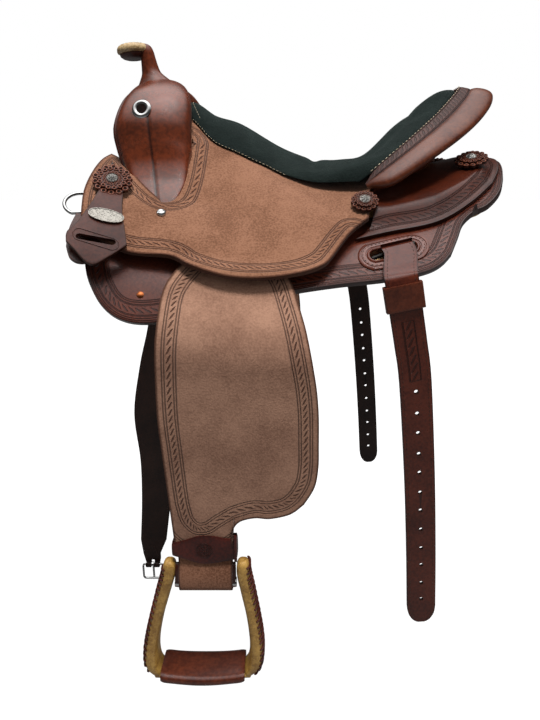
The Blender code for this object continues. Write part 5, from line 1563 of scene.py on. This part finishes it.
# Bolt sleeves: a flat tube of dark leather round each stirrup bolt, inside the fold of the strap,
# that keeps the steel off the leather. Its ends show between the strap and the stirrup.
sleeve = lofted("bolt_sleeve_near", [
    oval(STIRRUP_BOLT + Vector((end * 0.0366, 0, 0.0105)), (0, 0.0062 * full, 0),
         (0, 0, 0.0170 * full), 24, 2.6) for end, full in ((-1, 0.94), (-0.98, 1), (0.98, 1), (1, 0.94))])
fit_both(sleeve, dark_edge, "fender_near", "dark_leather")


# Hobble straps: smooth oxblood leather round the fender's neck, deepest in front, with one end
# folded back on itself. A plain round flower stamp marks the middle.
HOBBLE = ((-1.0, 0.0085), (-0.6, 0.0130), (-0.25, 0.0180), (0.0, 0.0195), (0.3, 0.0185),
          (0.6, 0.0160), (1.0, 0.0135))
shares = curve_through([(share, half, 0) for share, half in HOBBLE], 6)
front = [Vector((NECK_X + 0.0388 * p.x, -0.3078, p.y)) for p in shares]
ring_path = [(p.x, -0.3078 + 0.0012 * abs((p.x - NECK_X) / 0.0388) ** 6, p.z) for p in front]
loop = ring_path + [(NECK_X + 0.0392, -0.3020, 0.0135), (NECK_X + 0.0392, -0.2940, 0.0132),
                    (NECK_X + 0.0380, -0.2900, 0.0130), (NECK_X, -0.2892, 0.0120),
                    (NECK_X - 0.0380, -0.2900, 0.0090), (NECK_X - 0.0392, -0.2940, 0.0085),
                    (NECK_X - 0.0392, -0.3020, 0.0085)]
count = len(loop)
rings = []
for index, (x, y, half) in enumerate(loop):
    before, after = loop[index - 1], loop[(index + 1) % count]
    way = Vector((after[0] - before[0], after[1] - before[1], 0)).normalized()
    inward = Vector((-way.y, way.x, 0))
    if inward.dot(Vector((NECK_X - x, -0.2985 - y, 0))) < 0:
        inward = -inward
    middle = Vector((x, y, -0.4105)) + inward * 0.0011
    rings.append(oval(middle, inward * 0.0012, (0, 0, half), 16, 3.0))
hobble = lofted("hobble_strap_leather_near", rings + [rings[0]], caps=False)
end_path = [(NECK_X + 0.0372, -0.3092, -0.4075 + 0.0180 * t / 6) for t in range(-6, 7)]
rings = [oval(point, (0.0018, 0, 0), (0, 0.0016 * (1 - (t / 6.6) ** 4) + 0.0002, 0), 12, 2.4)
         for t, point in zip(range(-6, 7), end_path)]
end = lofted("hobble_end", rings)
hobble = joined("hobble_strap_leather_near", [hobble, end])
oxblood = hide("oxblood_bridle_leather", "4d1a11", "2f0e09", 0.32, 0.0035, 0.00008, coat=0.15,
               burnished=0)
fit_both(hobble, oxblood, "fender_near", "hobble_leather", "hobble_strap_near")
stamp_place = Matrix.Translation((NECK_X, -0.3081, -0.4105)) @ Matrix.Rotation(math.pi / 2, 4, "X")
petals = []
for index in range(6):
    angle = math.tau * index / 6
    bpy.ops.mesh.primitive_torus_add(major_radius=0.0021, minor_radius=0.00045, major_segments=14,
                                     minor_segments=6, location=(0.0040 * math.cos(angle),
                                                                 0.0040 * math.sin(angle), 0))
    bpy.ops.object.transform_apply()
    petals.append(bpy.context.object)
for radius in (0.0080, 0.0094):
    bpy.ops.mesh.primitive_torus_add(major_radius=radius, minor_radius=0.00038, major_segments=36,
                                     minor_segments=6)
    petals.append(bpy.context.object)
flower = joined("hobble_flower_stamp_near", petals)
flower.data.transform(stamp_place)
select_only(flower)
bpy.ops.object.shade_smooth()
fit_both(flower, dark_edge, "fender_near", "dark_leather")


# Stirrups: bent wood under shrunk rawhide, round knobs where the bolt goes through, laced down
# the outer edges with dark thong. The tread is wrapped in dark leather.
LEG = ((0.0445, -0.4275, 0.0072, 0.009), (0.0452, -0.4450, 0.0080, 0.011),
       (0.0510, -0.4700, 0.0080, 0.012), (0.0585, -0.5030, 0.0076, 0.013),
       (0.0640, -0.5340, 0.0080, 0.015), (0.0660, -0.5560, 0.0085, 0.017),
       (0.0645, -0.5740, 0.0085, 0.018), (0.0575, -0.5852, 0.0062, 0.0165),
       (0.0490, -0.5886, 0.0046, 0.0160))
FOOT_X = -0.0970


def stirrup_middle(z):
    """The stirrup's middle in x: it hangs a little forward at its foot."""
    return STIRRUP_BOLT.x + (FOOT_X - STIRRUP_BOLT.x) * (STIRRUP_BOLT.z - z) / 0.1206


both = [(-x, z, t, d) for x, z, t, d in LEG] + [(x, z, t, d) for x, z, t, d in LEG[::-1]]
path = curve_through([(x, 0, z) for x, z, _, _ in both], 8)
girth = curve_through([(t, d, 0) for _, _, t, d in both], 8)
spots = [Vector((stirrup_middle(p.z) + p.x, STIRRUP_BOLT.y, p.z)) for p in path]
rings, edges = [], []
for index, (spot, size) in enumerate(zip(spots, girth)):
    way = spots[min(index + 1, len(spots) - 1)] - spots[max(index - 1, 0)]
    side = Vector((0, 1, 0)).cross(way).normalized()
    close = min(index, len(spots) - 1 - index)
    full = (0.45, 0.72, 0.88, 0.97)[close] if close < 4 else 1.0
    rings.append(oval(spot, side * size.x * full, (0, size.y * full, 0), 24, 2.9))
    outer = side if side.x * (spot.x - stirrup_middle(spot.z)) > 0 else -side
    edges.append((spot, outer * (size.x + 0.0008), size.y + 0.0008, way.normalized()))
stirrup = lofted("rawhide_stirrup_near", rings)
rawhide = dried_rawhide("rawhide_over_wood", "a98443", "7d5a26", 0.004)
fit_both(stirrup, rawhide, "stirrup_near", "stirrup_rawhide", "stirrup_frame_near")

thongs = []
reach = 0.0
for (before, _, _, _), (spot, outer, deep, way) in zip(edges[3:], edges[4:-3]):
    reach += (spot - before).length
    if reach > 0.0056 and spot.z > -0.580:
        reach = 0.0
        wrap = []
        for degrees in range(-64, 65, 16):
            c, s = math.cos(math.radians(degrees)), math.sin(math.radians(degrees))
            wrap.append(spot + outer * math.copysign(abs(c) ** 0.69, c)
                        + Vector((0, deep * math.copysign(abs(s) ** 0.69, s), 0))
                        + way * 0.0026 * s)
        thongs.append(tube("thong", wrap, 0.0016, 6, ends=0.7))
thong_red = hide("latigo_lacing", "4a1d14", "2e100b", 0.45, 0.0030, 0.00008, burnished=0)
fit_both(joined("stirrup_lacing_near", thongs), thong_red, "stirrup_near", "dark_leather")

rings = []
for step in range(33):
    u = step / 16 - 1
    sag = 0.0045 * (1 - u * u)
    full = (0.93, 0.985)[min(step, 32 - step)] if step in (0, 1, 31, 32) else 1.0
    rings.append(oval((FOOT_X + 0.0525 * u, STIRRUP_BOLT.y, -0.5856 - sag),
                      (0, (0.0250 + 0.0004 * math.cos(4 * u)) * full, 0), (0, 0, 0.0079 * full), 28, 3.0))
tread = lofted("leather_wrapped_tread_near", rings)
tread_brown = hide("wrapped_latigo_leather", "5a2a19", "3a170d", 0.28, 0.0040, 0.00010, coat=0.25,
                   burnished=0)
fit_both(tread, tread_brown, "stirrup_near", "tread_leather", "stirrup_tread_near")
bolt_head = []
for end in (-1, 1):
    turn = Matrix.Rotation(end * math.pi / 2, 4, "Y")
    bolt_head.append(turned(f"bolt_head_{end}", ((0, 0.0026), (0.0040, 0.0020), (0.0058, 0.0003),
                                                 (0.0058, -0.0006), (0, -0.0006)),
                            Matrix.Translation(STIRRUP_BOLT + Vector((end * 0.0529, 0, 0))) @ turn, 24))
heads = joined("stirrup_bolt_heads_near", bolt_head)
fit_both(heads, chrome, "stirrup_near", "steel")


# Rear rigging: a stadium-shaped plate of smooth leather sewn round each skirt's slot, with a
# row of stitches, and a steel pin across the slot that the billet folds over.
slot_mid = (SLOT_FRONT + SLOT_REAR) / 2
slot_along = (SLOT_REAR - SLOT_FRONT).normalized()
slot_down = Vector((-slot_along.y, slot_along.x))
slot_reach = (SLOT_REAR - SLOT_FRONT).length / 2


def stadium(grow, turn):
    """A pattern place on a stadium outline round the slot; `grow` from the slot's own edge."""
    c, s = math.cos(turn), math.sin(turn)
    straight = slot_reach * max(-1.0, min(1.0, c * 2.6))
    place = slot_along * (straight + (SLOT_HALF + grow) * c) + slot_down * (SLOT_HALF + grow) * s
    return slot_mid + place


grid = [[Vector((*stadium(grow, -math.tau * i / 96), lift)) for i in range(97)]
        for grow, lift in ((0.0002, 0.0012), (0.0010, 0.0026), (0.0024, 0.0030), (0.0036, 0.0024),
                           (0.0042, 0.0014), (0.0050, 0.0014), (0.0056, 0.0022), (0.0075, 0.0024),
                           (0.0092, 0.0022), (0.0098, 0.0014), (0.0106, 0.0014), (0.0112, 0.0022),
                           (0.0134, 0.0019), (0.0142, 0.0010))]
surround = flap("slot_surround_near", grid, lambda p: drape(*p), 0.0012, 0, True)
apply_all(surround)
select_only(surround)
bpy.ops.object.mode_set(mode="EDIT")
leave_mesh()
smooth_plate = hide("burnished_rigging_leather", "5a2c1f", "3a1810", 0.24, 0.0040, 0.00006, coat=0.4,
                    burnished=0)
fit_both(surround, smooth_plate, "saddle", "smooth_leather")
line = [stadium(0.0083, math.tau * i / 72) for i in range(73)]
spots = sewn_on(lambda x, s, lift=0.0: drape(x, s, 0.0023 + lift), [tuple(p) for p in line], 0.0050)
rows = stitches("slot_surround_stitches_near", spots, 0.0030, 0.0008, dark_thread, "saddle",
                "smooth_leather")
fit(other_side(rows, "slot_surround_stitches_off"), dark_thread, "saddle", "smooth_leather")


# Rear billets: straps folded over the pin, 38 mm wide, stitched down both edges, with a tooled
# leaf panel and twelve round holes. A plain keeper loop slides on each.
BILLET_PATH = (
    (0.1370, -0.2560, -0.0985), (0.1445, -0.2545, -0.1350), (0.1520, -0.2530, -0.1710),
    (0.1610, -0.2515, -0.2200), (0.1750, -0.2482, -0.3450), (0.1845, -0.2455, -0.4500),
    (0.1905, -0.2438, -0.5300), (0.1930, -0.2430, -0.5660),
)
BILLET_HALF = 0.019
BILLET_THICK = 0.0045
middle = drape((SLOT_FRONT.x + SLOT_REAR.x) / 2, (SLOT_FRONT.y + SLOT_REAR.y) / 2, 0.001)
along = (drape(*SLOT_REAR, 0.001) - drape(*SLOT_FRONT, 0.001)).normalized()
s_mid = (SLOT_FRONT.y + SLOT_REAR.y) / 2
out = (outward(s_mid) - along * outward(s_mid).dot(along)).normalized()
down = along.cross(out)
down = -down if down.z > 0 else down
fold = 0.0025 + 0.0004 + BILLET_THICK / 2
top = Vector(BILLET_PATH[0])
way = (Vector(BILLET_PATH[2]) - top).normalized()
level = Vector((0, -1, 0)).cross(way).normalized()
level = -level if level.x < 0 else level
stations = []
for degrees in range(225, -1, -15):
    angle = math.radians(degrees)
    spoke = out * math.cos(angle) - down * math.sin(angle)
    stations.append((middle + along * 0.0045 + spoke * fold, along, spoke, BILLET_HALF))
stations.append((middle + along * 0.0045 + out * fold + down * 0.010, along, out, BILLET_HALF))
stations.append((drape(0.1385, 0.256, 0.0066), along.lerp(level, 0.5).normalized(), out, BILLET_HALF))
stations.append((Vector((0.1365, -0.2490, -0.0905)), along.lerp(level, 0.8).normalized(), out,
                 BILLET_HALF))
away = Vector((0, -1, 0))
stations += [(Vector(point), level, away, BILLET_HALF) for point in BILLET_PATH[:-1]]
last, tip = Vector(BILLET_PATH[-2]), Vector(BILLET_PATH[-1])
for share, half in ((0.35, 0.0187), (0.62, 0.0170), (0.85, 0.0125), (0.96, 0.0078), (1.0, 0.0040)):
    stations.append((last.lerp(tip, share), level, away, half))
stations = refined(stations, 5)
billet = strap("rear_billet_strap_near", stations, BILLET_THICK)
mark_strap(billet)
even = spaced(BILLET_PATH, 200)
reach = sum((b - a).length for a, b in zip(even, even[1:]))
normal = level.cross(way).normalized()
normal = -normal if normal.y > 0 else normal
hole_spots = [even[round(200 * (0.135 + 0.0272 * index) / reach)] for index in range(12)]
bpy.ops.object.select_all(action="DESELECT")
drills = []
for spot in hole_spots:
    bpy.ops.mesh.primitive_cylinder_add(vertices=20, radius=0.0026, depth=0.03, location=spot,
                                        rotation=normal.to_track_quat("Z", "Y").to_euler())
    drills.append(bpy.context.object)
    bpy.ops.object.transform_apply()
drill = joined("billet_drill", drills)
boolean = billet.modifiers.new("holes", "BOOLEAN")
boolean.object = drill
boolean.solver = "EXACT"
apply_all(billet)
bpy.data.objects.remove(drill, do_unlink=True)
near_billet = hide("chestnut_harness_leather", "4f2114", "35130b", 0.30, 0.0035, 0.00007, coat=0.15,
                   ink="260e09", burnished=0.0016)
# The off billet is the same leather as the near one, painted darker and duller as shade: it hangs on the
# far side, out of the light.
shaded_off_billet = hide("off_billet_leather_painted_shade", "23120c", "150a07", 0.45, 0.0035, 0.00008, coat=0.0,
                   ink="0c0504", burnished=0.0016)
billet_off = other_side(billet, "rear_billet_strap_off")
fit(billet, near_billet, "billet_near", "tooled_leather", "rear_billet_near")
fit(billet_off, shaded_off_billet, "billet_off", "tooled_leather", "rear_billet_off")


def seam_spots(stations, start, stop, inset, lift, pitch=0.0058):
    """Spots for a row of stitches down each edge of a strap between two shares of its length."""
    used = stations[round(start * (len(stations) - 1)):round(stop * (len(stations) - 1)) + 1]
    spots = []
    for side in (-1, 1):
        line = [Vector(c) + Vector(a) * side * (h - inset) + Vector(n) * lift for c, a, n, h in used]
        spots += along_line(line, [Vector(n) for _, _, n, _ in used], pitch)
    return spots


spots = seam_spots(stations, 0.40, 0.93, 0.0042, BILLET_THICK / 2 + 0.0001)
rows = stitches("billet_stitches_near", spots, 0.0040, 0.0008, dark_thread, "billet_near",
                "tooled_leather")
fit(other_side(rows, "billet_stitches_off"), dark_thread, "billet_off", "tooled_leather")


def on_billet(x, s, lift=0.0):
    """A point on the billet's outer face: s metres down from its top, x metres to the rear."""
    index = 200 * s / reach
    low = min(int(index), 199)
    spot = even[low].lerp(even[low + 1], index - low)
    return spot + level * x + normal * (BILLET_THICK / 2 + lift)


PANEL_TOP, PANEL_END, PANEL_HALF = 0.046, 0.120, 0.0075
grid = [[Vector((-PANEL_HALF + 2 * PANEL_HALF * i / 10, PANEL_TOP + (PANEL_END - PANEL_TOP) * j / 40))
         for i in range(11)] for j in range(41)]
panel = flap("billet_leaf_panel_near", grid, lambda p: on_billet(p.x, p.y, 0.0003), 0.0006, 0)
apply_all(panel)
mark(panel, np.array([(-0.0075, PANEL_TOP), (-0.0075, PANEL_END), (0.0075, PANEL_END),
                      (0.0075, PANEL_TOP), (-0.0075, PANEL_TOP)]),
     np.array([(-PANEL_HALF, PANEL_TOP - 0.01), (-PANEL_HALF, PANEL_END + 0.01)]))
stamped = hide("stamped_billet_leather", "4f2114", "35130b", 0.30, 0.0030, 0.00007, coat=0.15,
               ink="270e07", border=(0.0075, 0.0046, 0.0105, (1.35,)), burnished=0.0008)
panel_off = other_side(panel, "billet_leaf_panel_off")
fit(panel, stamped, "billet_near", "tooled_leather")
fit(panel_off, shaded_off_billet, "billet_off", "tooled_leather")

start = Vector(BILLET_PATH[0]) + way * 0.003
outer_x, outer_y = BILLET_HALF + 0.0034, BILLET_THICK / 2 + 0.0034
corner = 0.0022
loop = []
for cx, cy, first in ((1, 1, 0), (-1, 1, 90), (-1, -1, 180), (1, -1, 270)):
    for step in range(5):
        angle = math.radians(first + 90 * step / 4)
        loop.append((cx * (outer_x - corner) + corner * math.cos(angle),
                     cy * (outer_y - corner) + corner * math.sin(angle)))
grid = [[Vector((i, j)) for i in range(len(loop) + 1)] for j in range(13)]


def on_loop(p):
    x, y = loop[round(p.x) % len(loop)]
    return start + level * x + normal * y + way * (0.030 * p.y / 12)


keeper = flap("billet_keeper_loop_near", grid, on_loop, 0.0028, 0, True)
select_only(keeper)
bpy.ops.object.mode_set(mode="EDIT")
leave_mesh()
edge = keeper.modifiers.new("rounded_edge", "BEVEL")
edge.width = 0.0006
edge.segments = 2
edge.limit_method = "ANGLE"
edge.angle_limit = math.radians(50)
apply_all(keeper)
loop_leather = hide("creased_keeper_leather", "532718", "38170d", 0.30, 0.0035, 0.00007, coat=0.15,
                    burnished=0)
# The off loop likewise: the same leather, painted darker as shade on the far side.
shaded_off_loop = hide("off_keeper_leather_painted_shade", "23120c", "150a07", 0.45, 0.0035, 0.00012, burnished=0)
keeper_off = other_side(keeper, "billet_keeper_loop_off")
fit(keeper, loop_leather, "billet_keeper_near", "tooled_leather", "billet_keeper_near")
fit(keeper_off, shaded_off_loop, "billet_keeper_off", "tooled_leather", "billet_keeper_off")


# Rear cinch: it hangs down the off side from its strap at the skirt's front: a rounded steel
# ring, a broad dark strap that widens at the belly, and a roller buckle with one tongue.
CINCH_X, CINCH_Y, CINCH_RING_Z, BUCKLE_X, CINCH_END_Z = -0.245, 0.262, -0.0520, -0.297, -0.838
CINCH_BAND = (
    (0.035, -0.2450, 0.0200), (0.080, -0.2450, 0.0220), (0.173, -0.2470, 0.0230),
    (0.268, -0.2620, 0.0320), (0.378, -0.2750, 0.0390), (0.488, -0.2720, 0.0360),
    (0.588, -0.2790, 0.0325), (0.690, -0.2910, 0.0295),
)
recoat(hide("dark_hanger_leather", "3c1d14", "26110b", 0.40, 0.0035, 0.00010, burnished=0),
       "cinch_hanger", *sides("ring_clip"))


def wire_frame(name, x, top_z, drop, body, node):
    """A buckle frame: 4.8 mm wire round a 46 mm wide gap, its corners bent to 6 mm."""
    points = []
    for cx, cz, first in ((1, 0, 90), (1, 1, 0), (-1, 1, -90), (-1, 0, -180)):
        corner = Vector((x + cx * 0.017, CINCH_Y, top_z - 0.006 - cz * (drop - 0.012)))
        for step in range(0, 91, 15):
            angle = math.radians(first - step)
            points.append(corner + Vector((math.cos(angle), 0, math.sin(angle))) * 0.006)
    return fit(tube(name, points, 0.0024, 12, True), chrome, body, "steel", node)


wire_frame("cinch_ring_wire", CINCH_X, CINCH_RING_Z, 0.030, "cinch", "cinch_ring")
wire_frame("cinch_buckle_wire", BUCKLE_X, CINCH_END_Z, 0.038, "cinch_buckle", "cinch_buckle")


def around(bar, radius, first, last, steps):
    """Places round a level bar; 0 degrees is away from the saddle's middle, 90 is up."""
    return [bar + Vector((0, math.cos(math.radians(first + (last - first) * step / steps)),
                          math.sin(math.radians(first + (last - first) * step / steps)))) * radius
            for step in range(steps + 1)]


def level_strap(places, half):
    return [(Vector(place), Vector((1, 0, 0)), None, half) for place in places]


fold = 0.0024 + 0.0004 + 0.0025
upper = Vector((CINCH_X, CINCH_Y, CINCH_RING_Z - 0.030))
lower = Vector((BUCKLE_X, CINCH_Y, CINCH_END_Z))
head = level_strap(around(upper, fold, 240, 0, 12), 0.0150)
head += level_strap([upper + Vector((0, fold, -0.010))], 0.0160)
body_line = curve_through([(x, CINCH_Y, upper.z - drop) for drop, x, _ in CINCH_BAND], 6)
widths = curve_through([(half, 0, 0) for _, _, half in CINCH_BAND], 6)
band = [(place, Vector((1, 0, 0)), None, half.x) for place, half in zip(body_line, widths)]
foot = level_strap([lower + Vector((0, 0, 0.030))], 0.0200)
foot += level_strap([lower + Vector((0, fold, 0.012))], 0.0185)
foot += level_strap(around(lower, fold, 0, -240, 12), 0.0160)
stations = turned_to_path(head + band + foot)
stations = [(c, a, n if n.y > 0 or k < 14 or k > len(stations) - 14 else -n, h)
            for k, (c, a, n, h) in enumerate(stations)]
cinch = strap("rear_cinch_strap", stations, 0.005)
mark_strap(cinch)
bpy.ops.mesh.primitive_cube_add(size=1, location=lower + Vector((0, 0, -0.00125)),
                                scale=(0.0072, 0.024, 0.0215))
bpy.ops.object.transform_apply()
gap_cutter = bpy.context.object
boolean = cinch.modifiers.new("tongue_gap", "BOOLEAN")
boolean.object = gap_cutter
boolean.solver = "EXACT"
apply_all(cinch)
bpy.data.objects.remove(gap_cutter, do_unlink=True)
# Dark latigo leather, painted darker still as the shade it hangs in under the off side.
cinch_leather = hide("cinch_latigo_dark_and_painted_shade", "25130c", "150a07", 0.45, 0.0040, 0.00008, coat=0.0,
                     ink="0e0604", burnished=0.0018)
fit(cinch, cinch_leather, "cinch", "dark_leather", "rear_cinch")
seams = []
for side in (-1, 1):
    line = [place + Vector((side * (half.x - 0.0050), -0.0027, 0))
            for place, half in zip(body_line, widths)]
    seams += along_line(line, [Vector((0, -1, 0))] * len(line), 0.0065)
    seams += along_line([p + Vector((0, 0.0054, 0)) for p in line], [Vector((0, 1, 0))] * len(line),
                        0.0065)
chape = [lower + Vector((0.0125 * math.cos(math.radians(a)), -0.0027,
                         0.020 + 0.030 * math.sin(math.radians(a))))
         for a in range(0, 181, 10)]
seams += along_line(chape, [Vector((0, -1, 0))] * len(chape), 0.0055)
stitches("cinch_stitches", seams, 0.0042, 0.0009, dark_thread, "cinch", "dark_leather")
recoat(chrome, "cinch_tongue")
